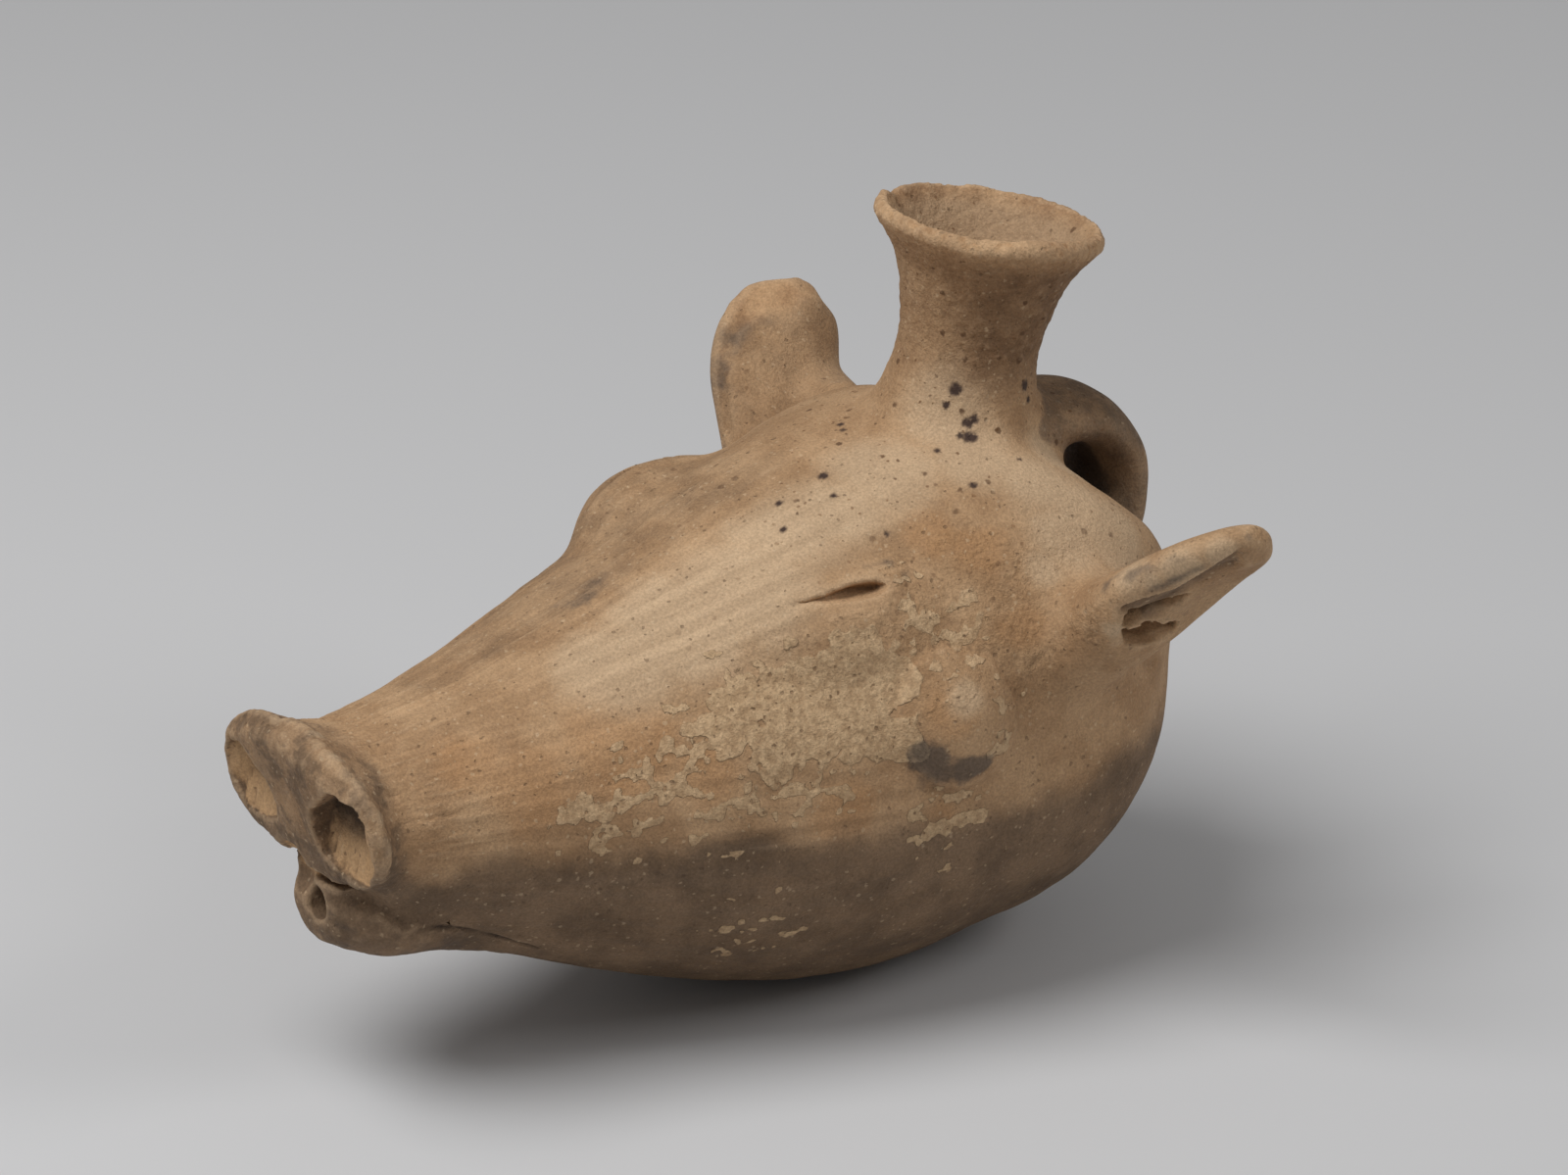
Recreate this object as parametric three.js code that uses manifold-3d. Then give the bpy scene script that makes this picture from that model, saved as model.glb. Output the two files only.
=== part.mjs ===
// Boar-head rhyton: a hand-built, unglazed pouring vessel in the shape of a boar's head.
// The potter forms each piece by hand and lutes it to its neighbour with slip, so every piece here is its own
// solid and a thin slip joint parts it from what it sits on.
// Units are millimetres. +Z is up, the snout points to -Y, and +X is the boar's left.
// The origin lies on the flattened patch under the jaw that the vessel stands on.
import * as THREE from "three";
import { mergeVertices } from "three/addons/utils/BufferGeometryUtils.js";
import Module from "manifold-3d";

const wasm = await Module();
wasm.setup();

// Clay and joints
const WALL = 6.5; // thickness of the hollow head's wall
const SLIP = 0.3; // width of the slip joint between two luted pieces

// Hollow head: sections from the muzzle's end to the widest part of the skull.
// middle is the height of a section's widest point, and of the joint between the jaw bowl and the crown dome.
const HEAD_SECTIONS = [
  { name: "muzzle end", y: -140, halfWidth: 25, top: 90, middle: 73, bottom: 55 },
  { name: "nose bridge", y: -92, halfWidth: 38, top: 99, middle: 68, bottom: 28 },
  { name: "cheek", y: -40, halfWidth: 56, top: 116, middle: 64, bottom: 6.5 },
  { name: "eye", y: 0, halfWidth: 64.5, top: 131, middle: 63, bottom: -2.5 },
  { name: "skull", y: 40, halfWidth: 66, top: 136, middle: 65, bottom: 1.5 },
];
const SKULL_BACK = 60; // from the widest section to the back of the head
const NAPE_DROP = 38; // how far the crown line has sunk where it meets the back
const SHOULDER_DROP = 0.25; // share of that drop to the left and right of the nape
const BACK_POWER = 2; // roundness of the head's back in plan
const CROWN_BACK_POWER = 2.65; // the same higher up, where the shoulders stand out behind the ears
const UPPER_POWER = 2.05; // 2 is an ellipse, more is squarer and less is keener
const CROWN_POWER = 2.7; // squarer shoulders between the neck and the ears
const LOWER_POWER = 1.85;
const SHOULDER_HEIGHT = 0.8; // sine of the angle round the head where the shoulders stand out in full
const NAPE_EDGE = 0.75; // the same where the nape's own drop begins

// Snout disc: a thick plug that closes the muzzle and flares into an oval plate
const SNOUT_AHEAD = 1; // from the muzzle's end to the midpoint between the nostrils, on the plate's face
const SNOUT_RISE = 0.5; // of that midpoint above the middle of the muzzle's end
const SNOUT_TILT = 13; // degrees that the face looks down
const SNOUT_HALF_WIDTH = 34.5;
const SNOUT_UP = 24; // the plate's reach above the nostrils' line
const SNOUT_DOWN = 14.5; // and below it
const SNOUT_POWER = 2.3; // roundness of the plate's outline
const SNOUT_FLARE = 17; // depth over which the muzzle widens into the plate
const SNOUT_EDGE = 0.2; // share of that depth before the plate narrows
const SNOUT_DEPTH = 23; // from the face to the plug's joint with the muzzle
const NOSTRIL_SPACING = 38.5;
const NOSTRIL_RADIUS = 12;
const NOSTRIL_END_RADIUS = 5;
const NOSTRIL_DEPTH = 17;

// Lower lip with the pouring hole: sections back from the muzzle's end, above and below the head's underside
const LIP_SECTIONS = [
  { name: "front", y: 4.5, halfWidth: 10, above: 5.5, below: 11.5 },
  { name: "mouth", y: 12, halfWidth: 19, above: 14, below: 11 },
  { name: "chin", y: 34, halfWidth: 20, above: 22, below: 3 },
  { name: "throat", y: 74, halfWidth: 12, above: 22, below: -2 },
];
const LIP_POWER = 2.2;
const LIP_CROWDING = 1.6; // more than 1 sets its rings closer together in front
const POUR_RADIUS = 3.8;
const POUR_DROP = 4.5; // below the underside of the muzzle's end

// Filling neck: heights run along its own axis from the crown's skin
const NECK_Y = 51.5;
const NECK_LEAN = 11.5; // degrees back from upright
const NECK_HEIGHT = 51;
const NECK_FOOT_RADIUS = 37;
const NECK_WAIST_RADIUS = 17.5;
const NECK_WAIST = 19;
const NECK_RIM_RADIUS = 29.5;
// The sweep from the buried foot to the waist: out is the share of the foot's reach past the waist.
const NECK_SWEEP = [
  { out: 1, height: -42 },
  { out: 0.66, height: -24 },
  { out: 0.4, height: -13 },
  { out: 0.2, height: -3 },
  { out: 0.07, height: 7 },
];
const NECK_FLARE = { out: 0.33, up: 0.54 }; // midway point of the flare, as shares of its reach and height
const NECK_EDGE = 3; // the outside edge lies this far below the mouth
const NECK_BORE_RADIUS = 12;
const NECK_BORE_START = -40;
const THROAT = { out: 3, up: 0.48 }; // midway point of the throat, in millimetres and as a share
const NECK_RIM_THICKNESS = 4;

// Strap handle: it leaves the neck's foot and arches over the nape.
// turn is in degrees from the widest section to the head's back, and clear is the finger gap under the strap.
const HANDLE_WIDTH = 34;
const HANDLE_THICKNESS = 13.5;
const HANDLE_ARCH = [
  { turn: 32, clear: 3.5 },
  { turn: 38, clear: 9.3 },
  { turn: 48, clear: 8.5 },
  { turn: 56, clear: 0.5 },
  { turn: 64, clear: -9.5 },
  { turn: 70, clear: -13 },
];

// Ears: thick leaves with a rolled front margin, a dished inner face behind it and a deep pocket near the root.
// reach is the way an ear grows, and face the way its inner face looks.
const LEFT_EAR_Y = 47;
const RIGHT_EAR_Y = 40.5;
const EAR_ANGLE = 20; // degrees round the head from the side
const LEFT_EAR_REACH = { x: 0.66, y: 0.34, z: 0.6 };
const RIGHT_EAR_REACH = { x: 0.66, y: 0.44, z: 0.7 };
const EAR_FACE = { x: 0.77, y: -0.09, z: -0.63 };
const EAR_LENGTH = 57;
const EAR_WIDTH = 38;
const EAR_ROOT_WIDTH = 27;
const EAR_ROOT_THICKNESS = 19;
const EAR_TIP_THICKNESS = 13;
const EAR_ROOT_FLARE = 1.3; // the root spreads where it is smoothed on to the head
const EAR_SUNK = 0.2; // share of the length that is buried in the head before it is cut off there
const EAR_ROUNDING = 0.45; // share of the length where the leaf begins to round off to its tip
const EAR_FULL = 0.5; // where it has reached its whole width
const EAR_FLARE_END = 0.4; // and where the root's spread has run out
const BLUNT = 0.02; // the tip is cut this share short of a point
const EAR_MARGIN = 9; // width of the rolled front margin
const DISH_START = 0.2; // share of the length where the dished face begins
const DISH_END = 1.1; // past the tip, so that the dish runs out there
const DISH_REACH = 0.66; // half its width, as a share of the leaf's
const DISH_OFFSET = 0.6; // from the margin to its middle, as a share of the leaf's width
const DISH_DEPTH = 5;
const POCKET_START = 0.16;
const POCKET_END = 0.6;
const POCKET_HALF_WIDTH = 4.5;
const POCKET_DEPTH = 10;
const POCKET_TURN = -8; // degrees, so that it follows the margin
const POCKET_HEIGHT = 0.4; // of its middle, as a share of the root's thickness
const RIGHT_EAR_LEFT = 0.96; // share of the right ear below its old break
const BREAK_TURN = 8; // degrees that the break slants

// Eyes
const EYE_Y = -16;
const EYE_ANGLE = 49;
const EYE_TURN = -18; // degrees that its rear end dips
const EYE_HALF_LENGTH = 26;
const EYE_HALF_HEIGHT = 14;
const LEFT_EYE_RISE = 5;
const RIGHT_EYE_RISE = 10;
const SLIT_Y = -11;
const SLIT_LENGTH = 26;
const SLIT_OPENING = 3.4;
const SLIT_DEPTH = 4;
const SLIT_SEAT = 0.95; // height of the slit's middle, as a share of the mound's rise

// Cheek bosses
const BOSS_Y = 7;
const BOSS_ANGLE = 17.5;
const BOSS_RADIUS = 15;
const BOSS_RISE = 6;
const DOME_SINK = 1.6; // how far the middle of an applied dome lies under the skin, in rises

// Facets
const HEAD_RING = 40;
const HEAD_STEPS = 30;
const STRAIGHT_SHARE = 0.68; // of those steps, ahead of the widest section
const HOLLOW_RING = 28;
const HOLLOW_STEPS = 20;
const ROUND = 32;
const SMALL_ROUND = 24;
const PIN_ROUND = 16;
const LEAF_RING = 18;

const CLAY = new THREE.MeshStandardMaterial({ color: 0xa98763, roughness: 0.85, metalness: 0 });
const degrees = THREE.MathUtils.degToRad;
const { clamp, lerp } = THREE.MathUtils;

// A closed mesh as a solid that can be cut and joined.
function solid(geometry) {
  const bare = geometry.clone();
  bare.deleteAttribute("normal");
  bare.deleteAttribute("uv");
  const merged = mergeVertices(bare, 1e-4);
  return new wasm.Manifold(
    new wasm.Mesh({
      numProp: 3,
      vertProperties: merged.attributes.position.array,
      triVerts: new Uint32Array(merged.index.array),
    }),
  );
}

// A solid as the geometry of a mesh.
function geometryOf(made) {
  const mesh = made.getMesh();
  return new THREE.BufferGeometry()
    .setAttribute("position", new THREE.BufferAttribute(mesh.vertProperties, 3))
    .setIndex(new THREE.BufferAttribute(mesh.triVerts, 1));
}

// Skin over rings of equal point counts, closed by a point in the middle of each end ring.
// Rings run clockwise as seen from the last one.
function loft(rings) {
  const count = rings[0].length;
  const centre = (ring) =>
    ring.reduce((sum, p) => sum.add(p), new THREE.Vector3()).divideScalar(count);
  const points = [...rings.flat(), centre(rings[0]), centre(rings.at(-1))];
  const index = [];
  const last = (rings.length - 1) * count;
  for (let j = 0; j < count; j++) {
    const next = (j + 1) % count;
    for (let i = 0; i < last; i += count) {
      index.push(i + j, i + next, i + count + next, i + j, i + count + next, i + count + j);
    }
    index.push(points.length - 2, next, j);
    index.push(points.length - 1, last + j, last + next);
  }
  return new THREE.BufferGeometry().setFromPoints(points).setIndex(index);
}

// Smooth lines through a list of sections: gives each named size at any y.
function linesThrough(sections, sizes) {
  const ys = sections.map((s) => s.y);
  const values = sections.flatMap((s) => sizes.map((size) => s[size]));
  const curve = new THREE.CubicInterpolant(ys, values, sizes.length);
  return (y) => {
    const at = curve.evaluate(y);
    return Object.fromEntries(sizes.map((size, i) => [size, at[i]]));
  };
}

// A point of a rounded outline of unit size.
function oval(power, angle) {
  const part = (v) => Math.sign(v) * Math.abs(v) ** (2 / power);
  return [part(Math.cos(angle)), part(Math.sin(angle))];
}

function ovalRing(power, count, place) {
  const ring = [];
  for (let j = 0; j < count; j++) {
    ring.push(place(...oval(power, (-2 * Math.PI * j) / count)));
  }
  return ring;
}

function mirrored(made, side) {
  return side > 0 ? made : made.mirror([1, 0, 0]);
}

// Head
const headLine = linesThrough(HEAD_SECTIONS, ["halfWidth", "top", "middle", "bottom"]);
const MUZZLE = HEAD_SECTIONS[0];
const SKULL = HEAD_SECTIONS.at(-1);

// A point of the head's skin: y along the head, angle round it from the boar's left over the top.
// offset grows the skin for a seat or shrinks it for the hollow.
function skin(y, angle, offset = 0) {
  const past = clamp((y - SKULL.y) / (SKULL_BACK + offset), 0, 1);
  const high = Math.sin(angle);
  const upper = high > 0;
  const roundness = lerp(BACK_POWER, CROWN_BACK_POWER, THREE.MathUtils.smoothstep(high, 0, SHOULDER_HEIGHT));
  const shrink = (1 - past ** roundness) ** (1 / roundness);
  const line = headLine(clamp(y, MUZZLE.y, SKULL.y));
  const crown = lerp(UPPER_POWER, CROWN_POWER, THREE.MathUtils.smoothstep(y, 0, SKULL.y));
  const [across, up] = oval(upper ? crown : LOWER_POWER, angle);
  const drop = NAPE_DROP * lerp(SHOULDER_DROP, 1, THREE.MathUtils.smoothstep(high, NAPE_EDGE, 1));
  const top = line.top - drop * past * past;
  const height = upper ? top - line.middle : line.middle - line.bottom;
  return new THREE.Vector3(
    across * (line.halfWidth + offset) * shrink,
    y,
    line.middle + up * (height + offset) * shrink,
  );
}

// A place on the skin: X points out of the head, Y runs to its back and Z round it upwards.
function onSkin(y, angle, rise) {
  const step = 0.5;
  const turn = 0.01;
  const along = skin(y + step, angle).sub(skin(y - step, angle)).normalize();
  const round = skin(y, angle + turn).sub(skin(y, angle - turn)).normalize();
  const out = new THREE.Vector3().crossVectors(along, round).normalize();
  const up = new THREE.Vector3().crossVectors(out, along);
  const place = new THREE.Matrix4().makeBasis(out, along, up);
  return place.setPosition(skin(y, angle).addScaledVector(out, rise));
}

function headForm(offset, count, steps) {
  const straight = Math.round(steps * STRAIGHT_SHARE);
  const round = steps - straight;
  const front = MUZZLE.y - offset;
  const places = [];
  for (let i = 0; i < straight; i++) {
    places.push(lerp(front, SKULL.y, i / straight));
  }
  for (let i = 0; i < round; i++) {
    places.push(SKULL.y + (SKULL_BACK + offset) * Math.sin((Math.PI * i) / (2 * round)));
  }
  const rings = places.map((y) => {
    const ring = [];
    for (let j = 0; j < count; j++) {
      ring.push(skin(y, (-2 * Math.PI * j) / count, offset));
    }
    return ring;
  });
  return solid(loft(rings));
}

const headOutside = headForm(0, HEAD_RING, HEAD_STEPS);
const headSeat = headForm(SLIP, HEAD_RING, HEAD_STEPS);
const hollowForm = headForm(-WALL, HOLLOW_RING, HOLLOW_STEPS);

function below(height) {
  const far = 400;
  return solid(new THREE.BoxGeometry(far, far, far).translate(0, 0, height - far / 2));
}

// Everything below the joint between the jaw bowl and the crown dome.
function belowJoint(offset) {
  const far = 220;
  const outline = new THREE.Shape();
  outline.moveTo(-far, -far);
  outline.lineTo(far, -far);
  outline.lineTo(far, SKULL.middle + offset);
  const count = 12;
  for (let i = count; i >= 0; i--) {
    const y = lerp(MUZZLE.y, SKULL.y, i / count);
    outline.lineTo(y, headLine(y).middle + offset);
  }
  outline.lineTo(-far, MUZZLE.middle + offset);
  const slab = new THREE.ExtrudeGeometry(outline, { depth: 2 * far, bevelEnabled: false });
  // The outline was drawn in Y and Z, so its plane is turned there and its depth lies along X.
  return solid(slab.translate(0, 0, -far).rotateY(Math.PI / 2).rotateX(Math.PI / 2));
}

// Snout. Its pieces are made about the face's centre, with the face at y = 0 looking to -Y.
const snoutY = MUZZLE.y - SNOUT_AHEAD;
const snoutZ = MUZZLE.middle + SNOUT_RISE;

function placeOnSnout(geometry) {
  return solid(geometry.rotateX(degrees(SNOUT_TILT)).translate(0, snoutY, snoutZ));
}

// Everything ahead of a plane that lies a depth behind the face.
function aheadOf(depth) {
  const far = 200;
  return placeOnSnout(new THREE.BoxGeometry(far, far, far).translate(0, depth - far / 2, 0));
}

// The plate with its rounded edge, narrowing back into the muzzle's own section.
function snoutFlare(grow) {
  const edge = [0.84, 0.93, 1, 1, 1, 1, 1, 1];
  const depths = [0, 0.07, 0.18, 0.34, 0.5, 0.66, 0.82, 1];
  const rings = depths.map((depth, i) => {
    const narrow = THREE.MathUtils.smoothstep(depth, SNOUT_EDGE, 1);
    const halfWidth = lerp(SNOUT_HALF_WIDTH, MUZZLE.halfWidth, narrow) * edge[i] + grow;
    const high = lerp(SNOUT_UP, MUZZLE.top - snoutZ, narrow) * edge[i] + grow;
    const low = lerp(SNOUT_DOWN, snoutZ - MUZZLE.bottom, narrow) * edge[i] + grow;
    return ovalRing(SNOUT_POWER, HEAD_RING, (across, up) => {
      return new THREE.Vector3(across * halfWidth, depth * SNOUT_FLARE, up * (up > 0 ? high : low));
    });
  });
  return placeOnSnout(loft(rings));
}

function nostril(side) {
  const cone = new THREE.CylinderGeometry(NOSTRIL_END_RADIUS, NOSTRIL_RADIUS, NOSTRIL_DEPTH, SMALL_ROUND);
  const x = (side * NOSTRIL_SPACING) / 2;
  const proud = 0.01; // so that the cut breaks cleanly through the face
  return placeOnSnout(cone.translate(x, NOSTRIL_DEPTH / 2 - proud, 0));
}

function snoutDisc() {
  return headOutside
    .intersect(aheadOf(SNOUT_DEPTH))
    .subtract(aheadOf(SNOUT_FLARE / 2))
    .add(snoutFlare(0))
    .subtract(nostril(1))
    .subtract(nostril(-1))
    .subtract(pourHole());
}

// Lower lip
const lipLine = linesThrough(LIP_SECTIONS, ["halfWidth", "above", "below"]);

// The hole runs level from in front of the lip until it has broken into the hollow.
function pourHole() {
  const z = MUZZLE.bottom - POUR_DROP;
  let end = MUZZLE.y;
  while (headLine(end).bottom + WALL > z - POUR_RADIUS) end += 1;
  end += SNOUT_DEPTH / 2; // clear of the plug's slanting joint
  const ahead = 40; // of the muzzle's end, well clear of the lip
  const length = end - MUZZLE.y + ahead;
  const bar = new THREE.CylinderGeometry(POUR_RADIUS, POUR_RADIUS, length, PIN_ROUND);
  return solid(bar.translate(0, end - length / 2, z));
}

function lowerLip() {
  const steps = 12;
  const rings = [];
  for (let i = 0; i <= steps; i++) {
    const back = lerp(LIP_SECTIONS[0].y, LIP_SECTIONS.at(-1).y, (i / steps) ** LIP_CROWDING);
    const at = lipLine(back);
    const y = MUZZLE.y + back;
    const underside = headLine(y).bottom;
    const half = (at.above + at.below) / 2;
    const middle = underside + at.above - half;
    rings.push(
      ovalRing(LIP_POWER, SMALL_ROUND, (across, up) => {
        return new THREE.Vector3(across * at.halfWidth, y, middle + up * half);
      }),
    );
  }
  return solid(loft(rings)).subtract(headSeat).subtract(snoutFlare(SLIP)).subtract(pourHole());
}

// Filling neck
const neckSeat = skin(NECK_Y, Math.PI / 2);

function placeOnNeck(profile) {
  return solid(
    new THREE.LatheGeometry(profile, ROUND)
      .rotateX(Math.PI / 2 - degrees(NECK_LEAN))
      .translate(neckSeat.x, neckSeat.y, neckSeat.z),
  );
}

function neckForm(grow) {
  const waist = NECK_WAIST_RADIUS;
  const foot = NECK_FOOT_RADIUS - waist;
  const flare = NECK_RIM_RADIUS - waist;
  const side = new THREE.SplineCurve([
    ...NECK_SWEEP.map(({ out, height }) => new THREE.Vector2(waist + foot * out, height)),
    new THREE.Vector2(waist, NECK_WAIST),
    new THREE.Vector2(waist + flare * NECK_FLARE.out, lerp(NECK_WAIST, NECK_HEIGHT, NECK_FLARE.up)),
    new THREE.Vector2(waist + flare, NECK_HEIGHT - NECK_EDGE),
  ]).getPoints(18);
  const outside = side.map((p) => new THREE.Vector2(p.x + grow, p.y));
  const rim = new THREE.Vector2(NECK_RIM_RADIUS - NECK_RIM_THICKNESS / 2 + grow, NECK_HEIGHT);
  return placeOnNeck([
    new THREE.Vector2(0, outside[0].y),
    ...outside,
    rim,
    new THREE.Vector2(0, NECK_HEIGHT),
  ]);
}

function neckBore() {
  const proud = 0.5; // so that the cut breaks cleanly through the mouth
  const top = NECK_HEIGHT + proud;
  const throat = new THREE.SplineCurve([
    new THREE.Vector2(NECK_BORE_RADIUS, NECK_WAIST),
    new THREE.Vector2(NECK_BORE_RADIUS + THROAT.out, lerp(NECK_WAIST, top, THROAT.up)),
    new THREE.Vector2(NECK_RIM_RADIUS - NECK_RIM_THICKNESS, top),
  ]).getPoints(8);
  return placeOnNeck([
    new THREE.Vector2(0, NECK_BORE_START),
    new THREE.Vector2(NECK_BORE_RADIUS, NECK_BORE_START),
    ...throat,
    new THREE.Vector2(0, top),
  ]);
}

function fillingNeck() {
  return neckForm(0).subtract(headSeat).subtract(neckBore());
}

// Strap handle
function aboveNape({ turn, clear }) {
  const y = SKULL.y + SKULL_BACK * Math.sin(degrees(turn));
  const place = onSkin(y, Math.PI / 2, clear + HANDLE_THICKNESS / 2);
  return new THREE.Vector3().setFromMatrixPosition(place);
}

function strapHandle() {
  const inNeck = neckSeat.clone().add(new THREE.Vector3(0, NECK_WAIST_RADIUS / 2, -HANDLE_THICKNESS / 3));
  const path = new THREE.CatmullRomCurve3([inNeck, ...HANDLE_ARCH.map(aboveNape)]);
  const section = new THREE.Shape();
  section.absellipse(0, 0, HANDLE_WIDTH / 2, HANDLE_THICKNESS / 2, 0, 2 * Math.PI);
  const strap = new THREE.ExtrudeGeometry(section, {
    extrudePath: path,
    steps: 20,
    curveSegments: 9,
    bevelEnabled: false,
  });
  return solid(strap).subtract(headSeat).subtract(neckForm(SLIP));
}

// Ears. A leaf is made about its root: X across it, Y out of its hollow and Z along it.
function earLeaf() {
  const rings = [];
  const steps = 13;
  for (let i = 0; i <= steps; i++) {
    const u = lerp(-EAR_SUNK, 1, i / steps);
    const past = Math.max(0, u - EAR_ROUNDING) / (1 + BLUNT - EAR_ROUNDING);
    const round = Math.sqrt(1 - past ** 2);
    const halfWidth = lerp(EAR_ROOT_WIDTH, EAR_WIDTH, THREE.MathUtils.smoothstep(u, 0, EAR_FULL)) / 2;
    const flare = lerp(EAR_ROOT_FLARE, 1, THREE.MathUtils.smoothstep(u, 0, EAR_FLARE_END));
    const thick = flare * lerp(EAR_ROOT_THICKNESS, EAR_TIP_THICKNESS, THREE.MathUtils.smoothstep(u, 0, 1));
    const halfThick = (thick / 2) * Math.sqrt(round);
    rings.push(
      ovalRing(2, LEAF_RING, (across, up) => {
        return new THREE.Vector3(-across * halfWidth * round, up * halfThick, u * EAR_LENGTH);
      }),
    );
  }
  return loft(rings);
}

// The dish runs off the leaf's rear edge, so the margin stands up only along the front.
function earDish() {
  const halfLength = ((DISH_END - DISH_START) * EAR_LENGTH) / 2;
  const middle = DISH_START * EAR_LENGTH + halfLength;
  const high = 3 * DISH_DEPTH;
  const face = EAR_TIP_THICKNESS / 2;
  const across = EAR_WIDTH / 2 - EAR_MARGIN - EAR_WIDTH * DISH_OFFSET;
  return new THREE.SphereGeometry(1, SMALL_ROUND, PIN_ROUND)
    .scale(EAR_WIDTH * DISH_REACH, high, halfLength)
    .translate(across, face - DISH_DEPTH + high, middle);
}

function earPocket() {
  const halfLength = ((POCKET_END - POCKET_START) * EAR_LENGTH) / 2;
  const middle = POCKET_START * EAR_LENGTH + halfLength;
  return new THREE.SphereGeometry(1, 16, 12)
    .scale(POCKET_HALF_WIDTH, POCKET_DEPTH, halfLength)
    .rotateY(degrees(POCKET_TURN))
    .translate(EAR_WIDTH / 2 - EAR_MARGIN - POCKET_HALF_WIDTH, EAR_ROOT_THICKNESS * POCKET_HEIGHT, middle);
}

function earBreak() {
  const far = 100;
  const gone = new THREE.BoxGeometry(far, far, far).rotateY(degrees(BREAK_TURN));
  return gone.translate(0, 0, RIGHT_EAR_LEFT * EAR_LENGTH + far / 2);
}

// Puts leaf geometry on the head: side is 1 for the boar's left and -1 for its right.
function placeEar(geometry, side) {
  const reach = side > 0 ? LEFT_EAR_REACH : RIGHT_EAR_REACH;
  const along = new THREE.Vector3(reach.x, reach.y, reach.z).normalize();
  const face = new THREE.Vector3(EAR_FACE.x, EAR_FACE.y, EAR_FACE.z);
  face.addScaledVector(along, -face.dot(along)).normalize();
  const across = new THREE.Vector3().crossVectors(face, along);
  const place = new THREE.Matrix4().makeBasis(across, face, along);
  place.setPosition(skin(side > 0 ? LEFT_EAR_Y : RIGHT_EAR_Y, degrees(EAR_ANGLE)));
  return mirrored(solid(geometry.applyMatrix4(place)), side);
}

function ear(side) {
  return placeEar(earLeaf(), side)
    .subtract(placeEar(earDish(), side))
    .subtract(placeEar(earPocket(), side))
    .subtract(headSeat)
    .subtract(hollowForm);
}

// Eyes and cheek bosses: low domes on the skin
function dome(halfLength, halfHeight, rise) {
  const sink = DOME_SINK * rise;
  const deep = rise + sink;
  const spread = 1 / Math.sqrt(1 - (sink / deep) ** 2);
  return new THREE.SphereGeometry(1, SMALL_ROUND, PIN_ROUND)
    .rotateZ(Math.PI / 2)
    .scale(deep, halfLength * spread, halfHeight * spread)
    .translate(-sink, 0, 0);
}

function eye(side) {
  const angle = degrees(EYE_ANGLE);
  const rise = side > 0 ? LEFT_EYE_RISE : RIGHT_EYE_RISE;
  const mound = solid(
    dome(EYE_HALF_LENGTH, EYE_HALF_HEIGHT, rise)
      .rotateX(degrees(EYE_TURN))
      .applyMatrix4(onSkin(EYE_Y, angle, 0)),
  );
  const slit = new THREE.SphereGeometry(1, 20, 10)
    .rotateX(Math.PI / 2)
    .scale(SLIT_DEPTH, SLIT_LENGTH / 2, SLIT_OPENING / 2)
    .rotateX(degrees(EYE_TURN))
    .applyMatrix4(onSkin(SLIT_Y, angle, rise * SLIT_SEAT));
  return mirrored(mound.subtract(headSeat).subtract(solid(slit)), side);
}

function cheekBoss(side) {
  const place = onSkin(BOSS_Y, degrees(BOSS_ANGLE), 0);
  const boss = solid(dome(BOSS_RADIUS, BOSS_RADIUS, BOSS_RISE).applyMatrix4(place));
  return mirrored(boss.subtract(headSeat), side);
}

const shell = headOutside
  .subtract(below(0))
  .subtract(aheadOf(SNOUT_DEPTH + SLIP))
  .subtract(hollowForm.subtract(below(WALL)))
  .subtract(neckBore())
  .subtract(pourHole());

const vessel = new THREE.Group();
function add(name, made) {
  const mesh = new THREE.Mesh(geometryOf(made), CLAY);
  mesh.name = name;
  vessel.add(mesh);
}

add("jaw_bowl", shell.intersect(belowJoint(-SLIP / 2)));
add("crown_dome", shell.subtract(belowJoint(SLIP / 2)));
add("snout_disc", snoutDisc());
add("lower_lip", lowerLip());
add("filling_neck", fillingNeck());
add("strap_handle", strapHandle());
add("left_ear", ear(1));
add("right_ear", ear(-1).subtract(placeEar(earBreak(), -1)));
add("left_eye", eye(1));
add("right_eye", eye(-1));
add("left_cheek_boss", cheekBoss(1));
add("right_cheek_boss", cheekBoss(-1));

export default vessel;
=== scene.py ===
# %% [markdown]
# # A boar-head rhyton in fired clay
# A rhyton is a pouring vessel in the shape of an animal. This one is a boar's head, built by hand from a
# dozen lumps of clay, luted together with slip, smoothed with a wet hand and fired in an open, smoky
# fire. The lesson loads the measured pieces as a fixed frame, melts them into one skin of clay, works
# that skin over as the potter and the ages did, cuts it back into its pieces, and colours, lights and
# photographs it.

# %% Load the measured vessel
import math

import bmesh
import bpy
import numpy as np
import openvdb
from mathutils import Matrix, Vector
from mathutils.bvhtree import BVHTree


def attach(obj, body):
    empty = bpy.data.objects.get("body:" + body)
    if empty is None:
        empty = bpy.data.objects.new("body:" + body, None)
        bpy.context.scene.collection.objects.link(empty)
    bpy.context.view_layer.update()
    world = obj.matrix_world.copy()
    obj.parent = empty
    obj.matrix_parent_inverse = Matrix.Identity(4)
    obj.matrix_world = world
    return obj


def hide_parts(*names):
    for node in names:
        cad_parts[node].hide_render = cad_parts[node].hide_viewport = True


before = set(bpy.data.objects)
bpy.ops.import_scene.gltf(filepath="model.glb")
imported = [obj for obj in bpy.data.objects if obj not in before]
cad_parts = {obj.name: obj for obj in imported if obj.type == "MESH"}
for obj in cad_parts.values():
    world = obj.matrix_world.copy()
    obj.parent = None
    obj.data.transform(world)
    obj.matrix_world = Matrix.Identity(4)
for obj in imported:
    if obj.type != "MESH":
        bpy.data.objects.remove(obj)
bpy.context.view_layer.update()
MM = 0.001
print("pieces in the frame:", sorted(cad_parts))

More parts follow.
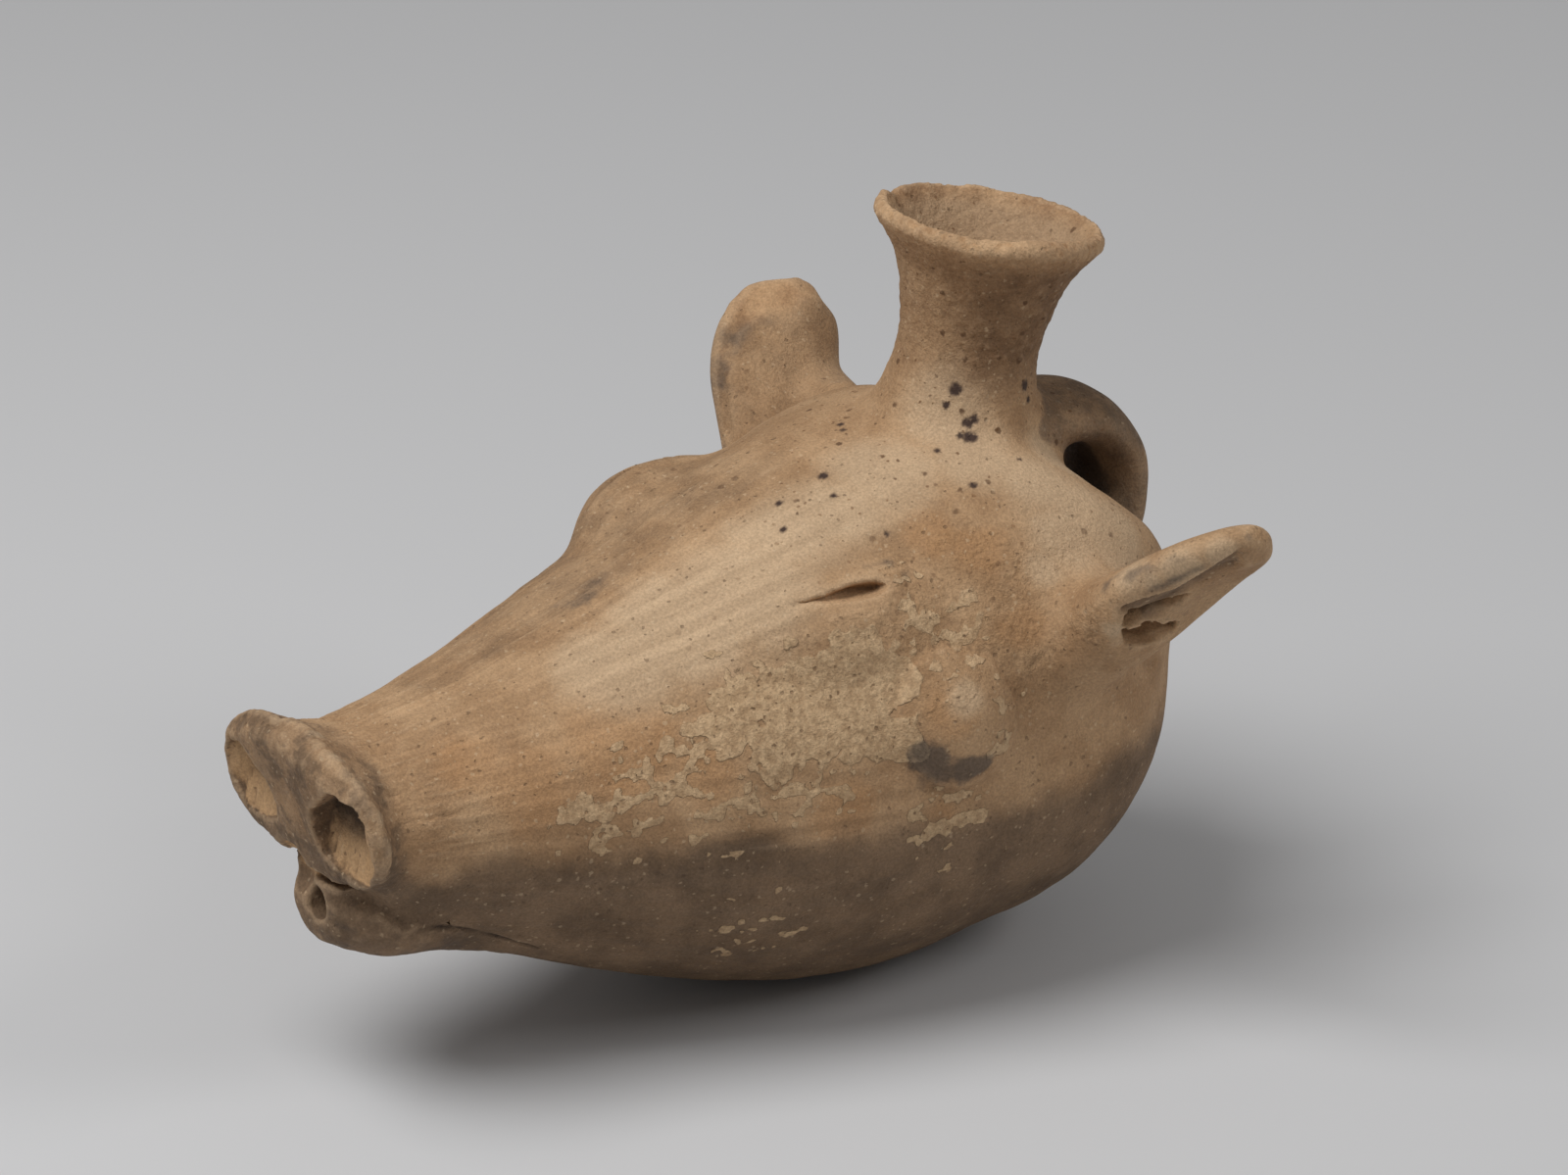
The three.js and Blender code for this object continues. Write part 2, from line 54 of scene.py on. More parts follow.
# %% [markdown]
# ## The camera
# The picture was taken with a long lens from the boar's left, a little above. The camera comes first,
# because a mark that is seen in the picture can then be put on the clay by sending a ray from the camera
# through that place. The picture is taken to be 1600 by 1199, and the lens and distance were found by
# matching the outline.

# %% Make the camera
PICTURE = (1600, 1199)
LENS, SENSOR = 187.5, 36.0
CLIP = (0.05, 50)
TARGET = Vector((0, 0, 0.099))
AZIMUTH, ELEVATION, DISTANCE = math.radians(55.5), math.radians(23.5), 2.0


def new_object(name, data):
    made = bpy.data.objects.new(name, data)
    bpy.context.scene.collection.objects.link(made)
    return made


def aim(made, place, way):
    made.location = place
    made.rotation_mode = "QUATERNION"
    made.rotation_quaternion = way.to_track_quat("-Z", "Y")


back = Vector((
    math.sin(AZIMUTH) * math.cos(ELEVATION),
    -math.cos(AZIMUTH) * math.cos(ELEVATION),
    math.sin(ELEVATION),
))
camera = new_object("camera", bpy.data.cameras.new("camera"))
camera.data.lens, camera.data.sensor_width = LENS, SENSOR
camera.data.clip_start, camera.data.clip_end = CLIP
aim(camera, TARGET + back * DISTANCE, -back)
bpy.context.scene.camera = camera
print("camera at", [round(v, 3) for v in camera.location])

# %% [markdown]
# ## Reading the solids
# Every piece comes as a closed mesh. As arrays of points and triangles, in millimetres, they can be
# handed to the level-set tools and searched quickly for the place that is nearest to a point or hit by a
# ray.

# %% Points and triangles of each piece
def numbers(items, field_name, kind, width=1):
    values = np.empty(len(items) * width, kind)
    items.foreach_get(field_name, values)
    return values.reshape(-1, width) if width > 1 else values


def solid_of(name):
    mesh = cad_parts[name].data
    mesh.calc_loop_triangles()
    corners = numbers(mesh.loop_triangles, "vertices", np.int32, 3)
    return numbers(mesh.vertices, "co", np.float32, 3) / MM, corners.astype(np.uint32)


def gathered(solids):
    points, corners, start = [], [], 0
    for p, t in solids:
        points.append(p)
        corners.append(t + start)
        start += len(p)
    return np.vstack(points).astype(np.float32), np.vstack(corners).astype(np.uint32)


names = sorted(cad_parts)
solids = {name: solid_of(name) for name in names}
all_points, all_corners = gathered(solids.values())
owner_of_corner = np.repeat(np.arange(len(names)), [len(solids[n][1]) for n in names])
measured = BVHTree.FromPolygons(all_points.tolist(), all_corners.tolist())
print("triangles in the frame:", len(all_corners))

# %% [markdown]
# ## One skin of clay
# The potter wets each joint until the pieces run into one another. A level set does the same: it holds,
# on a grid, how far every place is from the clay. Growing all pieces by a few millimetres and shrinking
# them back fills the slip joints and leaves a soft fillet in every inner corner. It is done three times:
# by a lot for the head and what is luted to it, by less for the strap handle, whose loop would close, and
# by least for the lip, which keeps its crease. Plugs close the neck and the pouring hole for the moment,
# because a level set counts a sealed hollow as full, and the outside then comes as one shell. The
# nostrils are filled as well, and are cut afresh once the skin is smooth.

# %% Level sets
NO_QUADS = np.zeros((0, 4), np.uint32)
NO_TRIANGLES = np.zeros((0, 3), np.uint32)
FULL_VOXEL, QUICK_VOXEL = 0.8, 1.3
VOXEL = FULL_VOXEL
EDGE_ROOM = int(12 / VOXEL)
SPARE_VOXELS = 1.5


def grid_round(points, voxel, room):
    low = np.floor(points.min(0) / voxel).astype(int) - room
    return low, np.ceil(points.max(0) / voxel).astype(int) + room + 1 - low


def level_set(points, triangles, quads, voxel, reach):
    return openvdb.FloatGrid.createLevelSetFromPolygons(
        np.asarray(points, np.float32),
        triangles=np.asarray(triangles, np.uint32),
        quads=np.asarray(quads, np.uint32),
        transform=openvdb.createLinearTransform(voxelSize=voxel),
        halfWidth=reach / voxel + SPARE_VOXELS,
    )


def values_in(grid, low, shape):
    values = np.empty(tuple(shape), np.float32)
    grid.copyToArray(values, ijk=tuple(int(v) for v in low))
    return values


# The grid's faces look inwards, so their corners are taken in reverse.
def surface_of(values, low, voxel):
    grid = openvdb.FloatGrid(float(values.max()))
    grid.copyFromArray(values, ijk=tuple(int(v) for v in low))
    grid.transform = openvdb.createLinearTransform(voxelSize=voxel)
    grid.gridClass = openvdb.GridClass.LEVEL_SET
    points, triangles, quads = grid.convertToPolygons(isovalue=0.0, adaptivity=0.0)
    return points.astype(float), quads[:, ::-1].astype(np.int64)


def melted(points, triangles, fillet, voxel, low, shape):
    grown = level_set(points, triangles, NO_QUADS, voxel, fillet)
    faces = grown.convertToPolygons(isovalue=fillet, adaptivity=0.0)
    return values_in(level_set(*faces, voxel, fillet + 3 * voxel), low, shape) + fillet


grid_low, grid_shape = grid_round(all_points, VOXEL, EDGE_ROOM)
print("grid of", grid_shape.tolist(), "voxels of", VOXEL, "mm")

# %% Plugs and the first skin
def plug(centre, axis, radius, depth, end_radius=None, sides=32):
    end_radius = end_radius or radius
    axis = np.array(axis) / np.linalg.norm(axis)
    side = np.cross(axis, (1, 0, 0))
    side /= np.linalg.norm(side)
    up = np.cross(axis, side)
    turns = np.arange(sides) * 2 * math.pi / sides
    ring = np.outer(np.cos(turns), side) + np.outer(np.sin(turns), up)
    ends = [np.array(centre) + s * axis * depth / 2 for s in (-1, 1)]
    points = np.vstack([ends[0] + ring * radius, ends[1] + ring * end_radius, *ends])
    triangles = []
    for i in range(sides):
        j = (i + 1) % sides
        triangles += [(i, j, sides + j), (i, sides + j, sides + i)]
        triangles += [(2 * sides, j, i), (2 * sides + 1, sides + i, sides + j)]
    return points.astype(np.float32), np.array(triangles, np.uint32)


# The neck leans back from its seat on the crown.
NECK_SEAT = np.array((0, 51.5, 134.5))
NECK_LEAN = math.radians(11.5)
NECK_AXIS = np.array((0, math.sin(NECK_LEAN), math.cos(NECK_LEAN)))
NECK_WAY = NECK_SEAT + 2 * NECK_AXIS
POUR_Z = 50.5
LENGTHWISE = (0, 1, 0)
# The snout's face looks forward and a little down.
SNOUT_FACE = np.array((0, -141, 73.5))
SNOUT_TILT = math.radians(13)
SNOUT_IN = np.array((0, math.cos(SNOUT_TILT), math.sin(SNOUT_TILT)))
SNOUT_UP = np.array((0, -math.sin(SNOUT_TILT), math.cos(SNOUT_TILT)))
NOSTRILS = [SNOUT_FACE + (side * 19.25, 0, 0) for side in (-1, 1)]
# A plug has a centre, an axis, a radius and a depth. The first two close the hollow, and the nostrils' taper.
plugs = [
    plug(NECK_WAY, NECK_AXIS, 14.5, 8),
    plug((0, -119, POUR_Z), LENGTHWISE, 5.2, 8),
    *(plug(nostril + 9 * SNOUT_IN, SNOUT_IN, 12.2, 16.6, 5.6) for nostril in NOSTRILS),
    # A knob of clay closes the gap between the lip and the plate.
    plug((0, -131.5, POUR_Z - 0.6), LENGTHWISE, 9.6, 10),
    # A web of clay joins the far ear's back edge to the crown.
    plug((-60, 59.5, 113), (28, -11, 6), 6.5, 31),
]
# Each fillet, with the pieces that are left out of its melt.
MELTS = ((1.8, ()), (4.0, ("lower_lip",)), (7.5, ("lower_lip", "strap_handle")))


def clay_without(left_out):
    return gathered([*(solids[n] for n in names if n not in left_out), *plugs])


field = np.minimum.reduce([
    melted(*clay_without(left_out), fillet, VOXEL, grid_low, grid_shape) for fillet, left_out in MELTS
])
skin_points, skin_quads = surface_of(field, grid_low, VOXEL)
print("outside of the vessel:", len(skin_quads), "quads")

# %% [markdown]
# ## Smoothing by hand
# The measured solids are built from flat facets. A wet hand takes those off: every point moves towards
# the mean of its neighbours, many times over on the broad head and only a little on the ears, the snout
# and the lip, whose edges would melt away. The same neighbour mean later spreads masks and finds hollows
# and edges.

# %% Neighbours, normals and smoothing
def ramp(values, low, high):
    share = np.clip((values - low) / (high - low), 0, 1)
    return share * share * (3 - 2 * share)


def links_of(quads, count):
    ways = np.vstack([quads[:, [k, (k + 1) % 4]] for k in range(4)])
    first, second = ways[ways[:, 0] < ways[:, 1]].T
    neighbours = np.bincount(first, minlength=count) + np.bincount(second, minlength=count)
    return first, second, neighbours


def neighbour_sum(values, first, second, count):
    return np.bincount(first, values[second], count) + np.bincount(second, values[first], count)


def neighbour_mean(values, links):
    first, second, neighbours = links
    return neighbour_sum(values, first, second, len(values)) / neighbours


def spread(values, links, steps):
    for _ in range(steps):
        values = 0.5 * values + 0.5 * neighbour_mean(values, links)
    return values


def smoothed(points, links, weight, steps):
    points = points.copy()
    for _ in range(steps):
        for k in range(3):
            points[:, k] += 0.5 * weight * (neighbour_mean(points[:, k], links) - points[:, k])
    return points


def normals_of(points, quads):
    a, b, c, d = (points[quads[:, k]] for k in range(4))
    face = np.cross(c - a, d - b)
    normal = np.empty_like(points)
    for k in range(3):
        normal[:, k] = sum(np.bincount(quads[:, c], face[:, k], len(points)) for c in range(4))
    return normal / np.linalg.norm(normal, axis=1, keepdims=True)


def shares_of_parts(points, links, blur=6):
    owner = np.array([owner_of_corner[measured.find_nearest(p)[2]] for p in points.tolist()])
    return {name: spread((owner == i).astype(float), links, blur) for i, name in enumerate(names)}


def up_neck(points):
    return (points - NECK_SEAT) @ NECK_AXIS


# %% Smooth the facets away
SOFTNESS = {
    "crown_dome": 1, "jaw_bowl": 1, "filling_neck": 0.7, "strap_handle": 0.6, "snout_disc": 0.15,
    "lower_lip": 0.3, "left_ear": 0.15, "right_ear": 0.15, "left_eye": 0.9, "right_eye": 0.9,
    "left_cheek_boss": 0.8, "right_cheek_boss": 0.8,
}
ROUNDS = int(70 * (FULL_VOXEL / VOXEL) ** 2)
RIM_KEPT, NEAR_RIM = 0.85, (34, 42)
links = links_of(skin_quads, len(skin_points))
part = shares_of_parts(skin_points, links)
soft = sum(part[name] * SOFTNESS[name] for name in names)
soft *= 1 - RIM_KEPT * part["filling_neck"] * ramp(up_neck(skin_points), *NEAR_RIM)
skin_points = smoothed(skin_points, links, soft, ROUNDS)
print("smoothed", ROUNDS, "times")

# %% [markdown]
# ## A mark seen in the picture
# A pixel becomes a ray from the camera, and the ray's first hit on the smoothed skin is the place of that
# mark on the vessel. The marks are then ordinary points in space, so they stay where they are from every
# side.

# %% From a place in the picture to a place on the clay
eye_point = np.array(camera.location) / MM
turn = camera.rotation_quaternion.to_matrix()
PIXELS_PER_UNIT = PICTURE[0] * LENS / SENSOR
MIRROR = np.array((-1, 1, 1))
TO_THE_RIGHT = np.array(turn @ Vector((1, 0, 0)))
worked = BVHTree.FromPolygons(skin_points.tolist(), skin_quads.tolist())


def seen_at(x, y):
    across, up = x - PICTURE[0] / 2, PICTURE[1] / 2 - y
    way = turn @ Vector((across / PIXELS_PER_UNIT, up / PIXELS_PER_UNIT, -1))
    hit = worked.ray_cast(Vector(eye_point), way.normalized())[0]
    if hit is None:
        # A mark just off the outline goes to the nearest clay.
        hit = worked.find_nearest(Vector(eye_point) + way.normalized() * DISTANCE / MM)[0]
    return np.array(hit)


def line_seen(pixels):
    return np.array([seen_at(*pixel) for pixel in pixels])


# A mark is a pixel and a radius in millimetres.
def marks_seen(marks):
    return [(seen_at(x, y), radius) for x, y, radius in marks]


def on_skin(points):
    return np.array([worked.find_nearest(Vector(point))[0] for point in points])


def facing(point):
    return np.array(worked.find_nearest(Vector(point))[1])


def length_of(line):
    return round(float(np.linalg.norm(np.diff(line, axis=0), axis=1).sum()), 1)


print("to the right in the picture is", TO_THE_RIGHT.round(2))

# %% [markdown]
# ## Carving
# The eyes were slit with a blade, the lip was pierced with a stick, and knocks have taken chips off the
# snout's plate and the lip. Such cuts are sharper than anything a moved point could give, so they are
# carved in the level set: the skin becomes a field of depths again, and a cut is the larger of that field
# and the cutter's own field turned inside out.

# %% Tools for carving
CARVING_REACH = 9
skin_grid = level_set(skin_points, NO_TRIANGLES, skin_quads, VOXEL, CARVING_REACH)
field = values_in(skin_grid, grid_low, grid_shape)
uncut = field.copy()


def beside(places, line):
    nearest = np.full(places.shape[:-1], np.inf)
    share = np.zeros(places.shape[:-1])
    for i, (a, b) in enumerate(zip(line[:-1], line[1:])):
        way = b - a
        t = np.clip((places - a) @ way / (way @ way), 0, 1)
        gap = np.linalg.norm(places - a - t[..., None] * way, axis=-1)
        closer = gap < nearest
        nearest = np.where(closer, gap, nearest)
        share = np.where(closer, (i + t) / (len(line) - 1), share)
    return nearest, share


def block_round(line, room):
    line = np.atleast_2d(line)
    low = np.clip(np.floor((line.min(0) - room) / VOXEL).astype(int) - grid_low, 0, grid_shape)
    high = np.clip(np.ceil((line.max(0) + room) / VOXEL).astype(int) + 1 - grid_low, 0, grid_shape)
    axes = [(np.arange(a, b) + g) * VOXEL for a, b, g in zip(low, high, grid_low)]
    return tuple(slice(a, b) for a, b in zip(low, high)), np.stack(np.meshgrid(*axes, indexing="ij"), -1)


# A cutter is given the places round the line and their depth under the skin.
def carve(line, room, cutter):
    block, places = block_round(line, room)
    field[block] = np.maximum(field[block], -cutter(places, -field[block]))


print("field of depths:", field.shape)

# %% Slit the eyes
SLIT_PIXELS = ((808, 618), (846, 611.5), (870, 605.5), (894, 600.5), (907, 597))
SLIT_DEEP, SLIT_ROOM = 4.5, 10.5
SLIT_LEAN = np.array((-0.3, 0.1, 0.8))


# A slit is widest a little behind its middle and closes at both corners.
def slit_half_width(share):
    return 0.2 + 2.2 * np.sin(math.pi * share ** 1.4) ** 0.9


def slit(line, lean):
    outward = facing(line.mean(0)) - lean

    def cutter(places, depth):
        gap, share = beside(places + depth[..., None] * outward, line)
        return np.maximum(gap - slit_half_width(share), depth - SLIT_DEEP)

    carve(line, SLIT_ROOM, cutter)


near_slit = line_seen(SLIT_PIXELS)
slit(near_slit, SLIT_LEAN)
slit(on_skin(near_slit * MIRROR), SLIT_LEAN * MIRROR)
print("slit the near eye over", length_of(near_slit), "mm")

# %% [markdown]
# ## The ears
# An ear has a thick rolled margin in front, and its inner face lies a few millimetres behind it. Near the
# root a pocket was dug with a stick, and a tongue of clay was left standing in it. The near ear's face is
# sunk by adding to the field below the ridge. The pocket is two slots, above and below the tongue, whose
# outlines are those in the picture, and the far ear has the same, less deep.

# %% Tools for the ears
SET_BACK = 3.2
# Where the sunk face begins and ends along the ridge, below it, and behind its front.
RIDGE_START, RIDGE_END = (0, 0.06), (0.65, 0.92)
FACE_TOP, FACE_FOOT, FACE_FRONT = (0, 1.6), (9, 17), (-9, -6)
SIGHT_STEPS = np.arange(0, 24, 0.2)
SLOT_WALL = 0.1


def below_ridge(places, ridge):
    share = beside(places, ridge)[1]
    out = facing(ridge.mean(0))
    down = np.cross(out, ridge[-1] - ridge[0])
    down *= -np.sign(down[2]) / np.linalg.norm(down)
    step = share * (len(ridge) - 1)
    first = np.clip(step.astype(int), 0, len(ridge) - 2)
    away = places - ridge[first] - (step - first)[..., None] * (ridge[first + 1] - ridge[first])
    along = ramp(share, *RIDGE_START) * (1 - ramp(share, *RIDGE_END))
    below = ramp(away @ down, *FACE_TOP) * (1 - ramp(away @ down, *FACE_FOOT))
    return below * ramp(away @ out, *FACE_FRONT) * along


# What is seen on the sunk face lies further down the same line of sight.
def sunk_in(outline):
    way = outline - eye_point
    way /= np.linalg.norm(way, axis=1, keepdims=True)
    places = outline[:, None] + SIGHT_STEPS[:, None] * way[:, None]
    at = np.rint(places / VOXEL).astype(int) - grid_low
    inside = field[tuple(np.moveaxis(at, -1, 0))] < 0
    return places[np.arange(len(outline)), inside.argmax(1)]


def outline_gap(across, up, outline):
    ring = np.vstack([outline, outline[:1]])
    inside = np.zeros(across.shape, bool)
    for (a, low), (b, high) in zip(ring[:-1], ring[1:]):
        if low != high:
            inside ^= ((low > up) != (high > up)) & (across < a + (up - low) * (b - a) / (high - low))
    return np.where(inside, -1, 1) * beside(np.stack([across, up], -1), ring)[0]


def dig(outline, deep):
    centre = outline.mean(0)
    out = facing(centre)
    along = outline[np.argmax(np.linalg.norm(outline - outline[0], axis=1))] - outline[0]
    along -= (along @ out) * out
    along /= np.linalg.norm(along)
    plane = np.stack([along, np.cross(out, along)], -1)

    def cutter(places, depth):
        local = places - centre
        low = -local @ out
        gap = outline_gap(*np.moveaxis(local @ plane, -1, 0), (outline - centre) @ plane)
        return np.maximum(gap + SLOT_WALL * np.maximum(low, 0), low - deep)

    carve(outline, deep + 3, cutter)


# %% Sink the near ear's face, dig the pockets
RIDGE_PIXELS = ((1135, 622), (1165, 612), (1200, 602), (1235, 581), (1265, 560), (1286, 541))
UPPER_SLOT = (
    (1143, 641), (1146, 630), (1165, 620), (1200, 610), (1222, 605), (1200, 616), (1182, 620), (1165, 630),
    (1150, 642),
)
LOWER_SLOT = (
    (1144, 644), (1165, 641), (1182, 637), (1203, 633), (1200, 644), (1182, 654), (1165, 660), (1148, 657),
)
EAR_ROOM = 26
NEAR_DEPTHS, FAR_DEPTHS = (6, 8), (3, 4)
ear_shift = solids["right_ear"][0].mean(0) - solids["left_ear"][0].mean(0) * MIRROR
near_ridge = line_seen(RIDGE_PIXELS)
slots = [line_seen(pixels) for pixels in (UPPER_SLOT, LOWER_SLOT)]
far_slots = [on_skin(slot * MIRROR + ear_shift) for slot in slots]
block, places = block_round(near_ridge, EAR_ROOM)
field[block] += SET_BACK * below_ridge(places, near_ridge)
near_slots = [sunk_in(slot) for slot in slots]
for slot, deep in zip((*near_slots, *far_slots), (*NEAR_DEPTHS, *FAR_DEPTHS)):
    dig(slot, deep)
print("near ear's ridge is", length_of(near_ridge), "mm long")

# %% [markdown]
# ## Snout, lip and mouth
# A thumb pressed inwards and up left each nostril with a floor that sinks from the lower edge to a deep
# roof. The plate's face is rounded, so rays on a fine grid first find how far it lies behind its flat
# plane. Past the edge that grid keeps a value that leaves the clay uncut.

# %% Press the nostrils
NOSTRIL_PIXELS = (
    (314, 828), (331, 811), (359, 826), (375, 852), (382, 868), (381, 888), (373, 908), (343, 888),
    (326, 870), (317, 846),
)
FACE_CELLS, FACE_STEP, AHEAD, FACE_FALL = 80, 0.5, 20, 5.5
FAR_NOSTRIL = 0.86
FLOOR_START, FLOOR_SLOPE, FLOOR_LIMITS = 1.0, 0.5, (0.5, 11)
PLATE_HALF, EDGE_SLOPE = 32.5, 0.9
NOSTRIL_WALL, NOSTRIL_BEND, NOSTRIL_ROOM = 0.12, 0.85, 26
face_grid = np.full((2 * FACE_CELLS + 1, 2 * FACE_CELLS + 1), -float(AHEAD))
for i, j in np.ndindex(face_grid.shape):
    across, up = (i - FACE_CELLS) * FACE_STEP, (j - FACE_CELLS) * FACE_STEP
    start = SNOUT_FACE + (across, 0, 0) + up * SNOUT_UP - AHEAD * SNOUT_IN
    hit = worked.ray_cast(Vector(start), Vector(SNOUT_IN), 2 * AHEAD)
    if hit[0] is not None and hit[3] < AHEAD + FACE_FALL:
        face_grid[i, j] = hit[3] - AHEAD


def behind_face(places):
    local = places - SNOUT_FACE
    across, up = local[..., 0], local @ SNOUT_UP
    i, j = (np.rint(v / FACE_STEP).astype(int) + FACE_CELLS for v in (across, up))
    lag = face_grid[np.clip(i, 0, 2 * FACE_CELLS), np.clip(j, 0, 2 * FACE_CELLS)]
    return across, up, local @ SNOUT_IN - lag


def press_nostril(middle, side, scale):
    outline = np.stack(behind_face(line_seen(NOSTRIL_PIXELS))[:2], -1)
    outline = outline.mean(0) + scale * (outline - outline.mean(0))
    foot = outline[:, 1].min()

    def cutter(places, depth):
        across, up, deep = behind_face(places)
        rising = FLOOR_START + FLOOR_SLOPE * (up - foot)
        floor = np.minimum(rising, EDGE_SLOPE * (PLATE_HALF - np.abs(across)))
        gap = outline_gap(side * across, up, outline) + NOSTRIL_WALL * np.maximum(deep, 0)
        return np.maximum(gap, NOSTRIL_BEND * (deep - np.clip(floor, *FLOOR_LIMITS)))

    carve(middle, NOSTRIL_ROOM, cutter)


for middle, side, scale in zip(NOSTRILS, (-1, 1), (FAR_NOSTRIL, 1)):
    press_nostril(middle, side, scale)
print("plate's face found at", int((face_grid > -AHEAD).sum()), "places")

# %% Fold the lip, open the mouth, chip the edges
# A fold parts the plate from the lip. It is deeper than it is high, so it is measured in a squashed space.
SQUASH = np.array((1, 0.45, 1))
FOLD = np.array([(-20, -126, 60), (-12, -133.5, 59.3), (0, -137.5, 58.8), (12, -133.5, 59.3), (20, -126, 60)])
FOLD_CORNER, FOLD_MIDDLE = 0.3, 1.0
POUR_LINE = np.array([(2, -160, POUR_Z + 1.2), (0, -106, POUR_Z)])
POUR_RADIUS = 4.4
# The mouth's inside flares from the bore to a thin edge.
RIM = NECK_SEAT + NECK_AXIS * 51
WAIST, FLARE = 19, 32
BORE, FLARE_WIDTH, FLARE_POWER = 12, 14.6, 1.9
# A chip is a pixel, the radius of the ball that is taken out, and how deep that goes.
CHIPS = (
    (281, 735, 4.0, 1.0), (289, 733, 2.2, 1.1), (322, 745, 2.5, 0.7), (243, 815, 2.5, 0.7),
    (303, 884, 8, 4.0),
)


def fold_cutter(places, depth):
    gap, share = beside(places * SQUASH, FOLD * SQUASH)
    return gap - FOLD_CORNER - FOLD_MIDDLE * np.sin(math.pi * share)


def mouth_cutter(places, depth):
    height = up_neck(places)
    radius = np.linalg.norm(places - NECK_SEAT - height[..., None] * NECK_AXIS, axis=-1)
    flare = np.clip((height - WAIST) / FLARE, 0, 1.2)
    return np.maximum(0.8 * (radius - BORE - FLARE_WIDTH * flare ** FLARE_POWER), WAIST - height)


def chip(centre, radius, deep):
    centre = centre + facing(centre) * (radius - deep)
    carve(centre, radius + 2, lambda places, depth: np.linalg.norm(places - centre, axis=-1) - radius)


carve(FOLD, 8, fold_cutter)
carve(POUR_LINE, 6, lambda places, depth: beside(places, POUR_LINE)[0] - POUR_RADIUS)
carve(RIM, 36, mouth_cutter)
for x, y, radius, deep in CHIPS:
    chip(seen_at(x, y), radius, deep)
skin_points, skin_quads = surface_of(field, grid_low, VOXEL)
print("carved skin:", len(skin_quads), "quads")

# %% [markdown]
# ## The hollow
# A level set counts a sealed hollow as full, so the hollow is found by comparison: it is where the
# plugged vessel is solid and the open vessel is not. Two short rods later join it to the mouth and the
# pouring hole.

# %% The hollow as a solid of its own
HOLLOW_VOXEL, HOLLOW_FILLET, HOLLOW_ROOM = 1.8, 2.6, 4
SKIN_LEFT = 1.5
hollow_grid = grid_round(all_points, HOLLOW_VOXEL, HOLLOW_ROOM)
sealed = gathered([*solids.values(), *plugs[:2]])
open_field, shut_field = (
    melted(*clay, HOLLOW_FILLET, HOLLOW_VOXEL, *hollow_grid) for clay in ((all_points, all_corners), sealed)
)
hollow = surface_of(np.maximum(shut_field + SKIN_LEFT, -open_field), hollow_grid[0], HOLLOW_VOXEL)
print("hollow:", len(hollow[1]), "quads")

# %% [markdown]
# ## Unevenness
# Hand-built clay is never fair: it carries broad swells from the fingers, finer ones from wiping, and
# grit. Gradient noise gives all of these when it is added up in several sizes, and its lattice is hashed
# from a seed, so that every run gives the same clay. Stretched along the head, it gives the lines of a
# wiping hand.

# %% Noise
HASH = np.array((374761393, 668265263, 1440662683))
SEED_HASH, MIX_HASH, LOW_BITS = 982451653, 1274126177, 0xFFFFFFFF
SEED_SHIFT, SLOPE_BITS, NOISE_HEIGHT = 31.7, 1023, 1.6


def noise(points, size, seed):
    places = points / size + SEED_SHIFT * seed
    cell = np.floor(places).astype(np.int64)
    inside = places - cell
    ease = inside ** 3 * (inside * (inside * 6 - 15) + 10)
    total = np.zeros(len(points))
    for corner in np.ndindex(2, 2, 2):
        mixed = ((cell + corner) @ HASH + seed * SEED_HASH) & LOW_BITS
        mixed = ((mixed ^ (mixed >> 13)) * MIX_HASH) & LOW_BITS
        mixed ^= mixed >> 16
        slope = np.stack([((mixed >> s) & SLOPE_BITS) / (SLOPE_BITS / 2) - 1 for s in (0, 10, 20)], 1)
        weight = np.prod(np.where(corner, ease, 1 - ease), axis=1)
        total += weight * np.sum(slope * (inside - corner), axis=1)
    return total * NOISE_HEIGHT


def layered(points, size, seed, layers=3):
    return sum(noise(points, size / 2 ** i, seed + i) / 2 ** i for i in range(layers))


# Each wave has a height, a size and a seed.
def summed(*waves):
    return sum(height * noise(skin_points, size, seed) for height, size, seed in waves)


def patch(marks):
    best = np.full(len(skin_points), -9.0)
    for centre, radius in marks:
        best = np.maximum(best, 1 - np.linalg.norm(skin_points - centre, axis=1) / radius)
    return best


def near_line(line, half_width, wander=0):
    return np.exp(-((beside(skin_points, line)[0] + wander) / half_width) ** 2)


# %% Broad swells
links = links_of(skin_quads, len(skin_points))
skin_points = smoothed(skin_points, links, 0.8, 3)
normal = normals_of(skin_points, skin_quads)
part = shares_of_parts(skin_points, links)
voxel_at = np.rint(skin_points / VOXEL).astype(int) - grid_low
sunk = -uncut[tuple(voxel_at.T)]
x, y, z = skin_points.T
ears = part["left_ear"] + part["right_ear"]
snout = part["snout_disc"] + part["lower_lip"]
neck = part["filling_neck"]
on_head = part["crown_dome"] + part["jaw_bowl"] + part["left_eye"] + part["right_eye"]
rise = summed((0.55, 34, 1), (0.28, 15, 2), (0.13, 7, 3)) * (1 - 0.4 * ears - 0.3 * snout)
print("broad unevenness:", rise.min().round(2), "to", rise.max().round(2), "mm")

# %% [markdown]
# ## Wiped and pulled clay
# The wet hand was drawn along the muzzle, from the snout backwards, and left fine lines there. Just
# behind the snout's plate the clay was pulled forward, and stands in a fan of fibrous ridges. The far
# side of the nose bridge was left rough. All three are noise on a drum: the angle round the muzzle and
# the length along it are the coordinates, so the lines draw together towards the snout as they do on the
# clay.

# %% Lines along the muzzle
DRUM, DRUM_Z = 40, 73
angle = np.arctan2(z - DRUM_Z, x)


# The lines are so far apart and so long, in millimetres.
def drum_lines(apart, long, seed, layers=2):
    drum = np.stack([np.cos(angle) * DRUM / apart, np.sin(angle) * DRUM / apart, y / long], 1)
    return layered(drum, 1.0, seed, layers)


